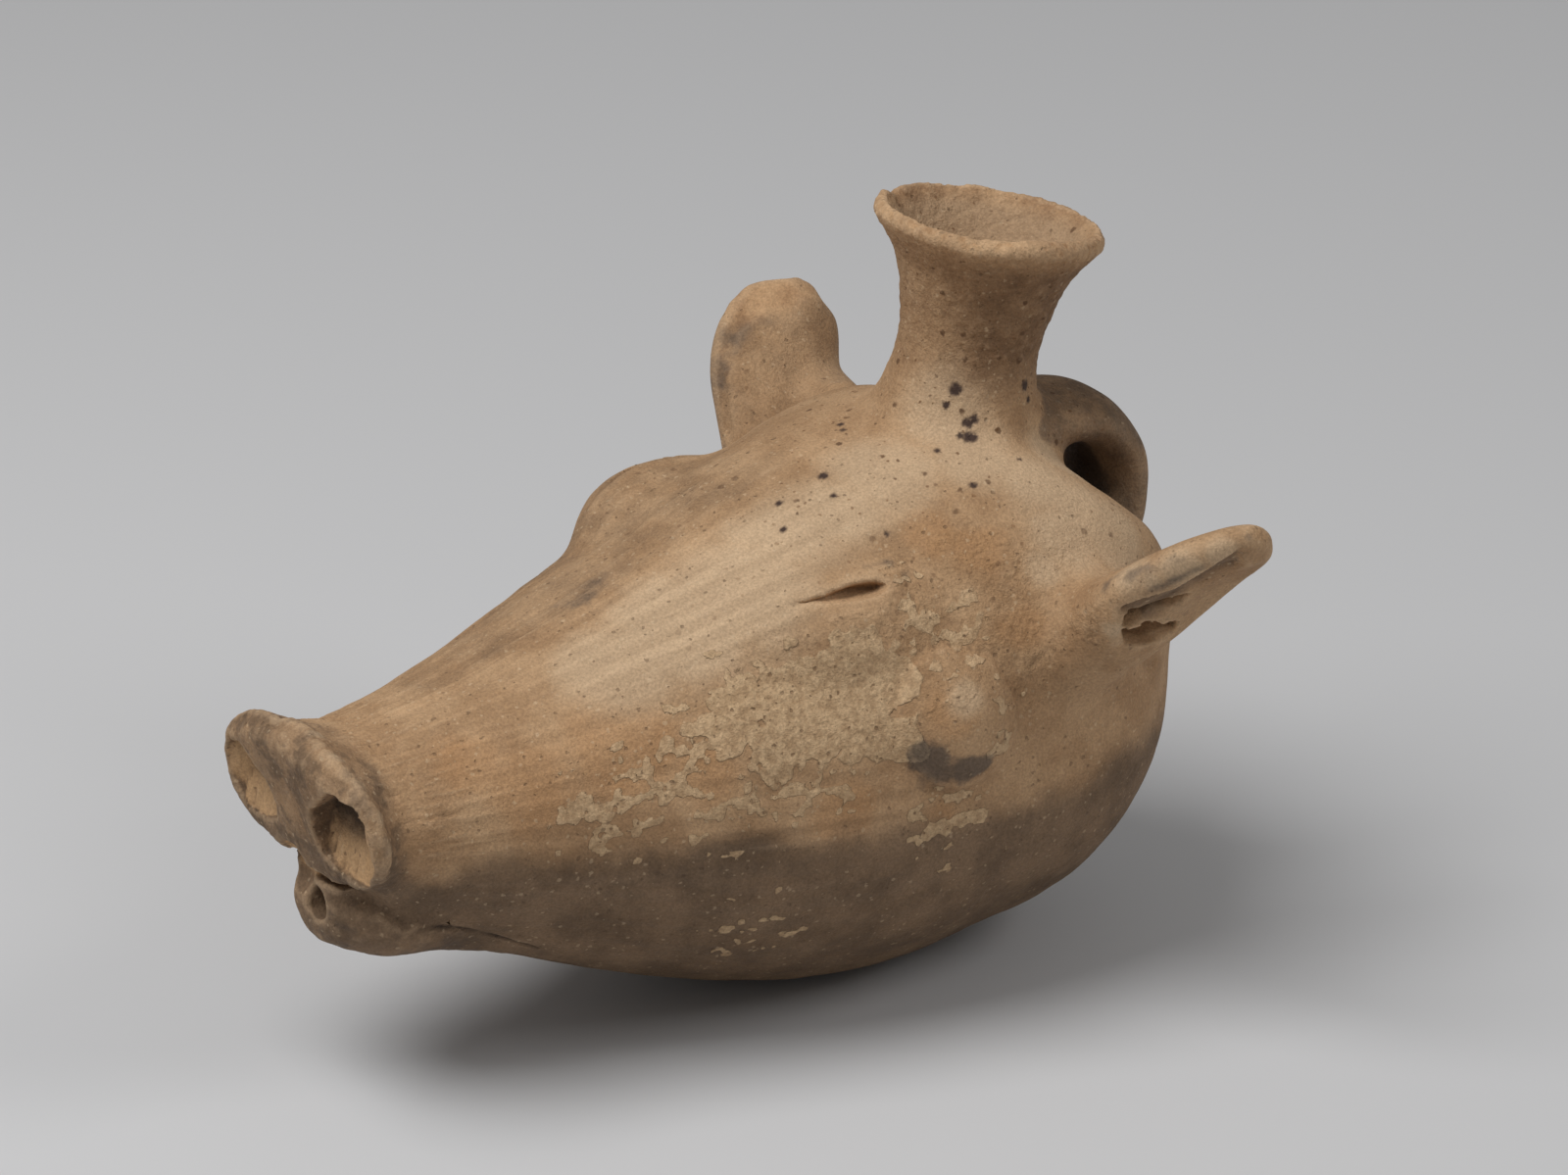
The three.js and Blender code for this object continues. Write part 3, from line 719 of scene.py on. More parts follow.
# Each place is bounded by ramps along the head, up it and across it.
wiped = on_head * ramp(-y, -40, 40)
fan = ramp(y, -134, -128) * ramp(-y, 92, 124) * ramp(z, 60, 78) * (on_head + 0.8 * snout)
bridge = on_head * ramp(z, 86, 98) * ramp(-x, -7, 3) * ramp(y, -124, -100) * ramp(-y, -18, 8)
wipe_lines = drum_lines(2.2, 45, 11)
rise += 0.13 * wiped * wipe_lines
rise += 0.42 * fan * (drum_lines(1.4, 14, 12, 3) + summed((0.7, 4.5, 15)))
rise += 0.34 * bridge * drum_lines(2.0, 20, 13, 3)
print("wiped share of the skin:", wiped.mean().round(3), "fan:", fan.mean().round(3))

# %% Fibres on the plate and the lip
# The plate's face is fibrous, with lines that run down it, and the nostrils' floors more so.
face_lines = layered(skin_points / (1.5, 7, 7), 1.0, 16, 3)
# Painted shade: deep in the nostrils, under their roofs, the clay is painted dark.
nostril_shade = part["snout_disc"] * ramp(sunk, 4, 8)
# Pale fresh clay on the nostrils' floors where they face out, made paler still as painted light.
fresh_lit_floor = part["snout_disc"] * ramp(sunk, 0.6, 1.6) * ramp(-normal @ SNOUT_IN, 0.25, 0.6) * (1 - nostril_shade)
plate = part["snout_disc"] * ramp(-y, 122, 132)
rise += plate * (0.18 * face_lines + summed((0.3, 5, 17), (0.1, 1.8, 18)))
rise += 0.25 * fresh_lit_floor * face_lines
rise += part["lower_lip"] * summed((0.3, 5, 19), (0.12, 2, 20))
print("plate's share of the skin:", plate.mean().round(3))

# %% [markdown]
# ## Crust
# Lime from the ground has settled on the near cheek in a pale, granular crust with lobed, flaking edges,
# and on the far cheek more thinly. Its place is a handful of round marks, joined and then broken up by
# noise, which gives the lobes. The crust stands about a sixth of a millimetre proud, and the material
# breaks its edge further.

# %% Settle the crust
CRUST_MARKS = (
    (760, 725, 8), (745, 748, 6), (790, 760, 8), (830, 735, 12), (815, 700, 9), (870, 735, 11), (895, 745, 8),
    (865, 695, 11), (905, 690, 8), (925, 760, 5), (880, 665, 7),
)
FLAKE_MARKS = (
    (720, 758, 8), (700, 800, 10), (720, 818, 9), (655, 815, 10), (620, 828, 9), (760, 810, 9), (800, 795, 9),
    (590, 838, 7), (850, 790, 8), (1000, 690, 7), (1015, 755, 5), (960, 640, 9), (765, 960, 9), (960, 835, 8),
    (930, 610, 6), (740, 700, 6),
)
ROUGH_MARKS = (
    (1000, 600, 13), (1030, 640, 13), (985, 560, 10), (1060, 580, 10), (1050, 690, 10), (940, 640, 12),
    (960, 680, 12), (1110, 640, 9), (910, 650, 9), (905, 577, 5),
)
crust_marks = marks_seen(CRUST_MARKS)
far_marks = [(centre * MIRROR, radius) for centre, radius in crust_marks[::2]]
ragged = summed((0.34, 8, 21), (0.3, 3.6, 22), (0.16, 1.9, 23))
torn = noise(skin_points * (1, 0.5, 1), 4, 26) + summed((0.6, 2.2, 27))
scattered = np.minimum(patch([*marks_seen(FLAKE_MARKS), *far_marks]), 0.5)
crust = np.maximum(
    ramp(patch(crust_marks) + 1.1 * ragged, -0.25, 0.35),
    ramp(0.9 * scattered + 1.6 * torn, 0.35, 0.85),
)
grit = summed((0.5, 2.6, 24), (0.5, 1.5, 25))
rise += ramp(crust, 0.3, 0.7) * (0.16 + 0.1 * grit)
# The clay beside the crust and on the neck is rough and pitted.
rough = ramp(patch(marks_seen(ROUGH_MARKS)) + ragged, 0.0, 0.5)
rough = np.maximum(rough, 0.55 * neck * ramp(up_neck(skin_points), 6, 20))
pits = ramp(summed((1, 2.0, 28)), 0.2, 0.55)
rise += rough * (0.2 * grit - 0.3 * pits)
print("crust covers", round(100 * float(crust.mean()), 1), "percent")

# %% [markdown]
# ## The near eye, the ears and the lip
# A low brow bulges over the near eye's slit, and a shallow furrow runs round its back corner. The near
# ear has a creased root, a crack runs back from the lip, and the joint of the lip was pinched. Each is a
# polyline on the clay with a soft cross-section, raised or sunk along the normals.

# %% Brow, furrows and crack
# Each line has its half width and its height in millimetres, and then its pixels.
RAISED_OR_SUNK = {
    "brow": (3.2, 0.5, (830, 603), (865, 588), (900, 583), (916, 590)),
    "round_brow": (
        2.6, -0.35, (845, 592), (867, 577), (899, 569), (924, 574), (930, 595), (925, 615), (905, 640),
        (870, 655),
    ),
    "lower_lid": (2.2, 0.5, (850, 630), (890, 626), (912, 616)),
    "ear_crease": (1.6, -0.7, (1128, 682), (1150, 684), (1178, 678)),
    "ear_root": (1.8, 0.8, (1142, 626), (1134, 638), (1137, 655)),
    "lip_pinch": (1.3, -0.8, (392, 928), (402, 938), (414, 944)),
    "jaw_wipe": (1.4, -0.35, (700, 868), (800, 853), (900, 838), (1000, 822)),
}
PLATE_CREST = ((300, 736), (316, 751), (333, 771), (351, 791), (369, 813), (383, 834), (392, 858), (396, 880))
PLATE_GROOVE = ((300, 752), (314, 768), (330, 786), (346, 803))
CRACK = ((428, 951), (445, 947), (480, 950), (515, 958), (548, 968))
BOSS_RISE, CRACK_DEEP, CRACK_HALF_WIDTH = 1.3, 0.6, 0.55
for half_width, by, *pixels in RAISED_OR_SUNK.values():
    rise += by * near_line(line_seen(pixels), half_width)
rise += BOSS_RISE * (part["left_cheek_boss"] + part["right_cheek_boss"])
crest = line_seen(PLATE_CREST)
for line, half_width, by in ((crest, 2.4, 0.8), (line_seen(PLATE_GROOVE), 2.6, -0.9)):
    rise += by * (near_line(line, half_width) + near_line(line * MIRROR, half_width))
crack_line = line_seen(CRACK)
crack = near_line(crack_line, CRACK_HALF_WIDTH, summed((0.45, 5, 29))) * ramp(summed((1, 9, 30)), -0.6, -0.1)
rise -= CRACK_DEEP * crack
print("crack is", length_of(crack_line), "mm long")

# %% [markdown]
# ## The mouth's rim and the broken ear
# The rim was pinched out by hand, so it waves up and down, and its edge has crumbled. The right ear lost
# its tip, and its top is a ragged break. Both are worked by moving points along an axis instead of the
# normals.

# %% Wave the rim
NOTCH_AT, NOTCH_WIDTH, NOTCH_DEEP = math.radians(-150), 0.12, 1.4
above = up_neck(skin_points)
round_rim = np.arctan2((skin_points - RIM) @ np.cross(NECK_AXIS, (1, 0, 0)), x)
circle = np.stack([np.cos(round_rim), np.sin(round_rim), 0 * x], 1)
at_rim = neck * ramp(above, 34, 50)
wave = noise(circle, 0.8, 31) + 0.5 * noise(circle, 0.3, 32) - 0.25
notch = np.exp(-((np.angle(np.exp(1j * (round_rim - NOTCH_AT))) / NOTCH_WIDTH) ** 2))
moved = (at_rim * (wave - NOTCH_DEEP * notch))[:, None] * NECK_AXIS
from_axis = skin_points - NECK_SEAT - above[:, None] * NECK_AXIS
from_axis /= np.linalg.norm(from_axis, axis=1, keepdims=True) + 1e-6
inner = neck * ramp(-np.sum(from_axis * normal, axis=1), 0, 0.6)
rise += at_rim * ramp(above, 44, 50) * (0.15 * grit + summed((0.25, 8, 34)))
rise += neck * (0.28 * grit + summed((0.16, 4, 35)))
print("rim waves by", wave.min().round(2), "to", wave.max().round(2), "mm")

# %% Crumble the break, move the points
EAR_WAY = np.array((-0.66, 0.44, 0.7)) / np.linalg.norm((0.66, 0.44, 0.7))
BREAK_PEAK, FAR_CORNER = (797, 292), (812, 318)
FAR_GROOVE = ((742, 440), (736, 385), (743, 338), (762, 306))
CORNER_REACH, CORNER_SHIFT = 13, 6.5
CORNER_WAY = np.array(turn @ Vector((1, 0.15, 0)))
far_ear = part["right_ear"]
moved -= (far_ear * ramp(z, 126, 134) * (0.9 + summed((1.1, 5, 33))))[:, None] * EAR_WAY
# The break has a peak, and falls behind it.
across_ear = (skin_points - seen_at(*BREAK_PEAK)) @ TO_THE_RIGHT
fall = 1.4 * np.exp(-(across_ear / 3) ** 2) - 2.6 * ramp(across_ear, 2, 9)
moved[:, 2] += far_ear * ramp(z, 122, 132) * fall
# The far ear is broad at its upper back corner, and a groove runs along its front margin.
corner_gap = np.linalg.norm(skin_points - seen_at(*FAR_CORNER), axis=1)
corner = far_ear * np.exp(-(corner_gap / CORNER_REACH) ** 2)
moved += (CORNER_SHIFT * corner)[:, None] * CORNER_WAY
rise -= 0.9 * near_line(line_seen(FAR_GROOVE), 1.8) * far_ear
skin_points = skin_points + normal * rise[:, None] + moved
print("points rise by", rise.min().round(2), "to", rise.max().round(2), "mm")

# %% [markdown]
# ## Where the colours lie
# The fire left the top buff, the underside brown and grey with smoke, and a blush of orange between. Soot
# marks sit under the cheek boss, on the bridge and on the ears, and brown iron spots are scattered round
# the neck's foot. Painted shade is laid in as well: on the near ear's sunk face, under the lip, inside the
# handle's loop, along the furrow round the near eye and deep in the nostrils, and the nostrils' floors
# carry painted light. Each of these is a soft mask on the points, worked out in space, and the materials
# break up its edge.

# %% Smoke with painted shade, blush and pale wash
BLUSH_MARKS = (
    (960, 835, 10), (765, 962, 10), (975, 728, 12), (640, 760, 26), (540, 800, 22), (1000, 560, 14),
    (720, 790, 16), (860, 830, 16), (480, 780, 16), (950, 545, 12), (1045, 640, 12),
)
PALE_MARKS = (
    (760, 590, 26), (690, 640, 24), (900, 480, 22), (1000, 470, 18), (850, 520, 20), (1090, 545, 16),
    (1055, 490, 18), (1130, 545, 14), (1150, 585, 10), (1200, 580, 8), (960, 420, 16), (800, 540, 26),
    (640, 680, 20), (985, 715, 7), (1130, 500, 14), (1100, 520, 14), (1075, 470, 12), (1065, 580, 8),
    (1135, 641, 4), (1175, 594, 5), (1215, 581, 5), (1245, 566, 5), (322, 752, 3), (342, 774, 3),
    (366, 802, 3), (386, 835, 3), (397, 868, 3), (283, 733, 3),
)
cloud = layered(skin_points, 40, 41)
smoke_line = 66 - 0.02 * y + 6 * cloud
smoke_and_shade = ramp(smoke_line - z, -10, 18) * (1 - 0.35 * ramp(-z, -22, -4))
# The lip's share is partly its smoke and partly painted shade of its underside.
smoke_and_shade = np.clip(smoke_and_shade + 0.55 * part["strap_handle"] + 0.5 * plate + 0.75 * part["lower_lip"], 0, 1)
sunk_face = part["left_ear"] * below_ridge(skin_points, near_ridge)
# Painted shade: the near ear's sunk face, which lies in shadow, is darkened with the smoke.
smoke_and_shade = np.maximum.reduce([smoke_and_shade, 0.4 * far_ear, 0.4 * bridge, 0.75 * sunk_face, 0.5 * ramp(y, 74, 92)])
smoke_and_shade *= 1 - np.maximum(0.8 * inner, fresh_lit_floor)
mottle = ramp(layered(skin_points, 5, 44), -0.6, 0.6)
brown = neck * ramp(above, 2, 20) * (1 - ramp(above, 40, 48)) * (1 - inner)
brown *= (0.4 + 0.6 * ramp(normal @ TO_THE_RIGHT, -0.8, 0.3)) * (0.7 + 0.3 * mottle)
blush = ramp(patch(marks_seen(BLUSH_MARKS)) + 0.25 * cloud, 0.0, 0.9)
pale = ramp(patch(marks_seen(PALE_MARKS)) + 0.3 * cloud, -0.1, 0.8)
print("smoke_and_shade", smoke_and_shade.mean().round(2), "blush", blush.mean().round(2), "pale", pale.mean().round(2))

# %% Soot and painted shade
UNDER_BOSS = ((940, 773), (958, 781), (980, 782), (1002, 773))
# A dark band along the furrow round the near eye's back corner: soot, and painted shade of the furrow.
BROW_SOOT_AND_SHADE = ((866, 589), (892, 575), (918, 577), (928, 596), (920, 614))
UPPER_STREAK = ((1125, 599), (1160, 585), (1203, 566), (1250, 547))
LOWER_STREAK = ((1135, 616), (1175, 603), (1230, 577), (1275, 548))
# The marks at (908, 574) and (924, 586) are soot with painted shade in the furrow round the near eye, and the
# one at (350, 945) is painted shade under the lip.
FAINT_MARKS = (
    (598, 604, 9), (575, 615, 7), (350, 945, 7), (1120, 400, 9), (748, 345, 13), (760, 325, 11),
    (735, 375, 9), (790, 292, 6), (908, 574, 5), (924, 586, 4), (1018, 745, 6),
)
# Marks on the sides that the picture doesn't show, in millimetres.
HIDDEN_MARKS = (
    ((-60, -20, 70), 18), ((-20, 95, 70), 20), ((25, 90, 50), 18), ((-62, 30, 110), 12), ((0, 100, 105), 10),
)
CREST_SHIFT = (-0.6, -0.8, -0.8)
smudge = layered(skin_points, 10, 43, 4)
broken_up = ramp(smudge, -0.5, 0.4)
boss_gap = beside(skin_points, line_seen(UNDER_BOSS))[0]
boss_soot = ramp(np.exp(-(boss_gap / 5) ** 2) + 0.6 * smudge, 0.3, 0.9) * ramp(-boss_gap, -11, -6)
faint = ramp(patch([*marks_seen(FAINT_MARKS), *HIDDEN_MARKS]) + 0.7 * smudge, 0.0, 1.1)
streaks = np.maximum(near_line(line_seen(UPPER_STREAK), 2.4), near_line(line_seen(LOWER_STREAK), 1.5))
# Painted shade: the inside of the handle's loop, which the loop shades itself, is painted black.
to_loop = solids["strap_handle"][0].mean(0) - skin_points
loop_gap = np.linalg.norm(to_loop, axis=1)
loop_shade = ramp(np.sum(to_loop * normal, axis=1) / loop_gap, 0.1, 0.5) * ramp(-loop_gap, -30, -20)
soot_and_shade = np.maximum.reduce([
    0.9 * boss_soot,
    # Painted shade inside the handle's loop.
    0.9 * loop_shade,
    0.6 * faint,
    0.35 * part["strap_handle"],
    # Soot and painted shade round the near eye.
    0.45 * near_line(line_seen(BROW_SOOT_AND_SHADE), 1.8) * broken_up,
    0.45 * near_line(crest + CREST_SHIFT, 1.6) * broken_up,
    0.7 * streaks * broken_up,
    # Painted shade: the lip's underside, which lies in shadow, is darkened.
    0.4 * part["lower_lip"] * ramp(-z, -50, -44) * broken_up,
])
print("soot_and_shade", soot_and_shade.mean().round(3))

# %% Iron spots, hollows and raised edges
SPOT_MARKS = (
    (975, 397, 1.5), (966, 413, 0.9), (1046, 393, 1.3), (1049, 408, 0.8), (987, 432, 1.2), (994, 428, 1.1),
    (990, 447, 1.6), (980, 445, 0.9), (957, 462, 0.9), (993, 496, 1.0), (840, 485, 1.2), (795, 513, 0.9),
    (799, 540, 0.8), (858, 434, 1.0), (905, 545, 0.7), (850, 505, 0.8), (1040, 470, 0.7), (860, 440, 0.7),
)
FOOT_SCALE, FOOT_REACH = (1, 0.8, 1.3), 62
spots = ramp(patch(marks_seen(SPOT_MARKS)) + summed((0.3, 1.6, 51)), -0.35, 0.15)
near_foot = np.exp(-(np.linalg.norm((skin_points - NECK_SEAT) * FOOT_SCALE, axis=1) / FOOT_REACH) ** 2)
specks = near_foot * ramp(z, 86, 116) + 0.35 * neck + 0.2 * ramp(z, 60, 100)
# Painted shade: hollows, found as how far each point lies under its blurred neighbours, are darkened, and
# raised edges made lighter.
blurred = np.stack([spread(skin_points[:, k], links, 10) for k in range(3)], 1)
hollows = np.sum((blurred - skin_points) * normal, axis=1)
grime = 0.5 + summed((0.7, 6, 45), (0.6, 1.8, 46))
masks = {
    "smoke_and_shade": smoke_and_shade, "blush": blush, "soot_and_shade": soot_and_shade, "pale": pale, "crust": crust, "rough": rough,
    "spots": spots, "specks": np.clip(specks, 0, 1), "hollows": np.clip(0.5 + 0.7 * hollows, 0, 1),
    "cracks_and_nostril_shade": np.maximum(crack, nostril_shade), "wiped": np.clip(0.5 + 0.5 * wipe_lines * wiped, 0, 1),
    "fresh_lit_floor": fresh_lit_floor, "brown": brown, "throat": inner, "grime": np.clip(grime, 0, 1) * plate,
    "broken": np.clip(far_ear * ramp(z, 129, 133) + 0.7 * at_rim * ramp(above, 45, 50), 0, 1),
}
print("hollows from", hollows.min().round(2), "to", hollows.max().round(2), "mm")

# %% [markdown]
# ## Back to separate pieces
# The finished skin is opened to the hollow and then cut along the joints. Each piece's cell holds every
# place that is nearer to it than to any other piece, so the cuts run along the slip joints, and what is
# left over is the crown. The cut faces get the plain core of the clay, and the edge between skin and cut
# is sharp, so that no shading runs across a joint. A cut can leave slivers and crumbs, so each piece
# keeps its largest body only.

# %% Meshes and cuts
def mesh_object(name, points, faces, core=True):
    mesh = bpy.data.meshes.new(name)
    mesh.vertices.add(len(points))
    mesh.vertices.foreach_set("co", (points * MM).astype(np.float32).ravel())
    mesh.loops.add(faces.size)
    mesh.loops.foreach_set("vertex_index", faces.astype(np.int32).ravel())
    mesh.polygons.add(len(faces))
    mesh.polygons.foreach_set("loop_start", np.arange(len(faces), dtype=np.int32) * faces.shape[1])
    mesh.polygons.foreach_set("material_index", np.full(len(faces), int(core), np.int32))
    mesh.update(calc_edges=True)
    for material in (fired_clay, clay_core):
        mesh.materials.append(material)
    return new_object(name, mesh)


def cut(made, cutter, how):
    modifier = made.modifiers.new("cut", "BOOLEAN")
    modifier.object, modifier.operation, modifier.solver = cutter, how, "MANIFOLD"
    graph = bpy.context.evaluated_depsgraph_get()
    mesh = bpy.data.meshes.new_from_object(made.evaluated_get(graph))
    made.modifiers.clear()
    return new_object(made.name, mesh)


def removed(*objects):
    for made in objects:
        bpy.data.objects.remove(made)


fired_clay = bpy.data.materials.new("fired_clay_skin")
clay_core = bpy.data.materials.new("fired_clay_core")
vessel = mesh_object("vessel", skin_points, skin_quads, core=False)
last_normal = normals_of(skin_points, skin_quads)
carried = {**masks, "known": np.ones(len(x)), **{"skin_" + "xyz"[k]: last_normal[:, k] for k in range(3)}}
for name, values in carried.items():
    layer = vessel.data.attributes.new(name, "FLOAT", "POINT")
    layer.data.foreach_set("value", values.astype(np.float32))
rods = [plug(NECK_WAY, NECK_AXIS, 11.9, 16), plug((0, -106, POUR_Z), LENGTHWISE, 3.4, 26)]
for points, faces in (hollow, *rods):
    cutter = mesh_object("cutter", points.astype(float), faces)
    opened = cut(vessel, cutter, "DIFFERENCE")
    removed(vessel, cutter)
    vessel = opened
print("opened vessel:", len(vessel.data.polygons), "faces")

# %% One cell for each piece
CELL_VOXEL, CELL_REACH = 1.0, 11
CELL_ROOM = int(CELL_REACH / CELL_VOXEL) + 3
grids = {name: level_set(*solids[name], NO_QUADS, CELL_VOXEL, CELL_REACH + 2) for name in names}


def cell_of(name):
    low, shape = grid_round(solids[name][0], CELL_VOXEL, CELL_ROOM)
    own = values_in(grids[name], low, shape)
    other = np.min([values_in(grids[n], low, shape) for n in names if n != name], axis=0)
    return surface_of(np.maximum(own - other, own - CELL_REACH), low, CELL_VOXEL)


pieces = {}
for name in names:
    if name == "crown_dome":
        continue
    cell = mesh_object("cell", *cell_of(name))
    pieces[name] = cut(vessel, cell, "INTERSECT")
    rest = cut(vessel, cell, "DIFFERENCE")
    removed(vessel, cell)
    vessel = rest
pieces["crown_dome"] = vessel
print("cut into", len(pieces), "pieces")

# %% Sweep away slivers and crumbs
SLIVER = 0.005 * MM


# Faces that share a clean edge get the same label.
def island_labels(shape):
    ends = np.array([[face.index for face in edge.link_faces] for edge in shape.edges if edge.is_manifold])
    labels = np.arange(len(shape.faces))
    while True:
        lowest = np.minimum(labels[ends[:, 0]], labels[ends[:, 1]])
        after = labels.copy()
        np.minimum.at(after, ends[:, 0], lowest)
        np.minimum.at(after, ends[:, 1], lowest)
        after = after[after]
        if np.array_equal(after, labels):
            return labels
        labels = after


def swept(made):
    shape = bmesh.new()
    shape.from_mesh(made.data)
    bmesh.ops.remove_doubles(shape, verts=shape.verts, dist=SLIVER)
    bmesh.ops.triangulate(shape, faces=[face for face in shape.faces if len(face.verts) > 4])
    bmesh.ops.dissolve_degenerate(shape, edges=shape.edges, dist=SLIVER)
    shape.faces.index_update()
    labels = island_labels(shape)
    largest = np.bincount(labels).argmax()
    loose = [face for face in shape.faces if labels[face.index] != largest]
    bmesh.ops.delete(shape, geom=loose, context="FACES")
    shape.to_mesh(made.data)
    shape.free()
    return len(np.unique(labels)), len(loose)


for name, piece in pieces.items():
    print(name, "came in %d bodies, %d faces swept away" % swept(piece))

# %% Fit the pieces into the frame
for name, piece in pieces.items():
    piece.name = piece.data.name = name + "_clay"
    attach(piece, "root")
    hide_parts(name)
    print(piece.name, len(piece.data.polygons), "faces")

# %% [markdown]
# ## Joints without seams
# A cut makes new points, which know nothing of the masks, so they take the mean of their neighbours. The
# skin's corners also keep the normals that the uncut skin had, so that light runs across a joint without
# a line.

# %% Fill the masks, keep the normals
KNOWN = 0.99


def fill_unknown(mesh, passes=4):
    first, second = numbers(mesh.edges, "vertices", np.int32, 2).T
    count = len(mesh.vertices)
    values = {name: numbers(mesh.attributes[name].data, "value", np.float32) for name in carried}
    known = values["known"] > KNOWN
    for _ in range(passes):
        told = neighbour_sum(known, first, second, count)
        new_points = ~known & (told > 0)
        for layer in values.values():
            total = neighbour_sum(layer * known, first, second, count)
            layer[new_points] = total[new_points] / told[new_points]
        known |= new_points
    for name, layer in values.items():
        mesh.attributes[name].data.foreach_set("value", layer)
    return values


for piece in pieces.values():
    mesh = piece.data
    values = fill_unknown(mesh)
    core = numbers(mesh.polygons, "material_index", np.int32)
    corner_core = np.repeat(core, numbers(mesh.polygons, "loop_total", np.int32))
    edge = numbers(mesh.loops, "edge_index", np.int32)
    total = np.bincount(edge, minlength=len(mesh.edges))
    cored = np.bincount(edge, corner_core, len(mesh.edges))
    layer = mesh.attributes.new("sharp_edge", "BOOLEAN", "EDGE")
    layer.data.foreach_set("value", (cored > 0) & (cored < total))
    mesh.polygons.foreach_set("use_smooth", np.ones(len(mesh.polygons), bool))
    point_normal = np.stack([values["skin_" + k] for k in "xyz"], 1)
    corner_normal = point_normal[numbers(mesh.loops, "vertex_index", np.int32)]
    corner_normal[corner_core == 1] = 0
    mesh.normals_split_custom_set(corner_normal.tolist())
    print(piece.name, int(core.sum()), "core faces of", len(core))

# %% [markdown]
# ## Clay as a material
# Fired clay shows grit in its body, specks and pits, and a tone that never stays the same for long. These
# effects are in the skin and in the core alike, so they are shader node groups: one for the grit, one for
# specks, one for the broken edge of a stain. All read the clay's own coordinates, in metres.

# %% Helpers for nodes
def put(tree, socket, value):
    if isinstance(value, bpy.types.NodeSocket):
        tree.links.new(value, socket)
    else:
        socket.default_value = value


def set_node(tree, kind, **inputs):
    node = tree.nodes.new(kind)
    for name, value in inputs.items():
        put(tree, node.inputs[name], value)
    return node


def cloudy(tree, place, scale, detail, roughness=0.5):
    return set_node(
        tree, "ShaderNodeTexNoise", Vector=place, Scale=scale, Detail=detail, Roughness=roughness
    ).outputs


def reckon(tree, how, first, second):
    node = tree.nodes.new("ShaderNodeMath")
    node.operation = how
    put(tree, node.inputs[0], first)
    put(tree, node.inputs[1], second)
    return node.outputs[0]


def between(tree, value, low, high, start=0.0, end=1.0):
    node = tree.nodes.new("ShaderNodeMapRange")
    node.interpolation_type = "SMOOTHSTEP"
    for k, v in enumerate((value, low, high, start, end)):
        put(tree, node.inputs[k], v)
    return node.outputs[0]


def tinted(tree, share, under, over):
    node = tree.nodes.new("ShaderNodeMix")
    node.data_type = "RGBA"
    for k, v in ((0, share), (6, under), (7, over)):
        put(tree, node.inputs[k], v)
    return node.outputs[2]


def group_of(name, inputs, outputs):
    tree = bpy.data.node_groups.new(name, "ShaderNodeTree")
    tree.interface.new_socket("Place", in_out="INPUT", socket_type="NodeSocketVector")
    for socket, value in inputs.items():
        made = tree.interface.new_socket(socket, in_out="INPUT", socket_type="NodeSocketFloat")
        made.default_value = value
    for socket in outputs:
        tree.interface.new_socket(socket, in_out="OUTPUT", socket_type="NodeSocketFloat")
    return tree, tree.nodes.new("NodeGroupInput").outputs, tree.nodes.new("NodeGroupOutput").inputs


def use(tree, group, **inputs):
    node = tree.nodes.new("ShaderNodeGroup")
    node.node_tree = group
    for name, value in inputs.items():
        put(tree, node.inputs[name], value)
    return node.outputs


# Colours are written as they are seen on a screen, from 0 to 255, and turned into linear light.
def tone(*seen):
    return tuple(((v / 255 + 0.055) / 1.055) ** 2.4 for v in seen) + (1.0,)


print("buff clay in linear light:", [round(v, 3) for v in tone(190, 153, 115)[:3]])

# %% Grit, specks and broken edges
CLOUD_SCALE, COARSER = 60.0, 0.3
WOBBLE_SCALE, WOBBLE = 900.0, 0.0011
grit_group, given, out = group_of("clay_grit", {"Size": 0.0007}, ("Fine", "Coarse", "Cloud"))
scale = reckon(grit_group, "DIVIDE", 1.0, given["Size"])
coarse_scale = reckon(grit_group, "MULTIPLY", scale, COARSER)
for name, size, detail, roughness in (
    ("Fine", scale, 3.0, 0.65), ("Coarse", coarse_scale, 4.0, 0.6), ("Cloud", CLOUD_SCALE, 5.0, 0.6),
):
    grit_group.links.new(cloudy(grit_group, given["Place"], size, detail, roughness)[0], out[name])

speck_group, given, out = group_of(
    "clay_specks", {"Spacing": 0.004, "Share": 0.3, "Radius": 0.25}, ("Speck",)
)
wobble = speck_group.nodes.new("ShaderNodeVectorMath")
wobble.operation = "MULTIPLY_ADD"
bent = cloudy(speck_group, given["Place"], WOBBLE_SCALE, 1.0)[1]
for k, value in enumerate((bent, (WOBBLE, WOBBLE, WOBBLE), given["Place"])):
    put(speck_group, wobble.inputs[k], value)
density = reckon(speck_group, "DIVIDE", 1.0, given["Spacing"])
cells = set_node(speck_group, "ShaderNodeTexVoronoi", Vector=wobble.outputs[0], Scale=density).outputs
lots = set_node(speck_group, "ShaderNodeSeparateColor", Color=cells["Color"]).outputs
chosen = reckon(speck_group, "LESS_THAN", lots[0], given["Share"])
size = reckon(speck_group, "MULTIPLY", given["Radius"], reckon(speck_group, "ADD", lots[1], 0.35))
dot = between(speck_group, reckon(speck_group, "DIVIDE", cells["Distance"], size), 1.0, 0.55)
speck_group.links.new(reckon(speck_group, "MULTIPLY", dot, chosen), out["Speck"])

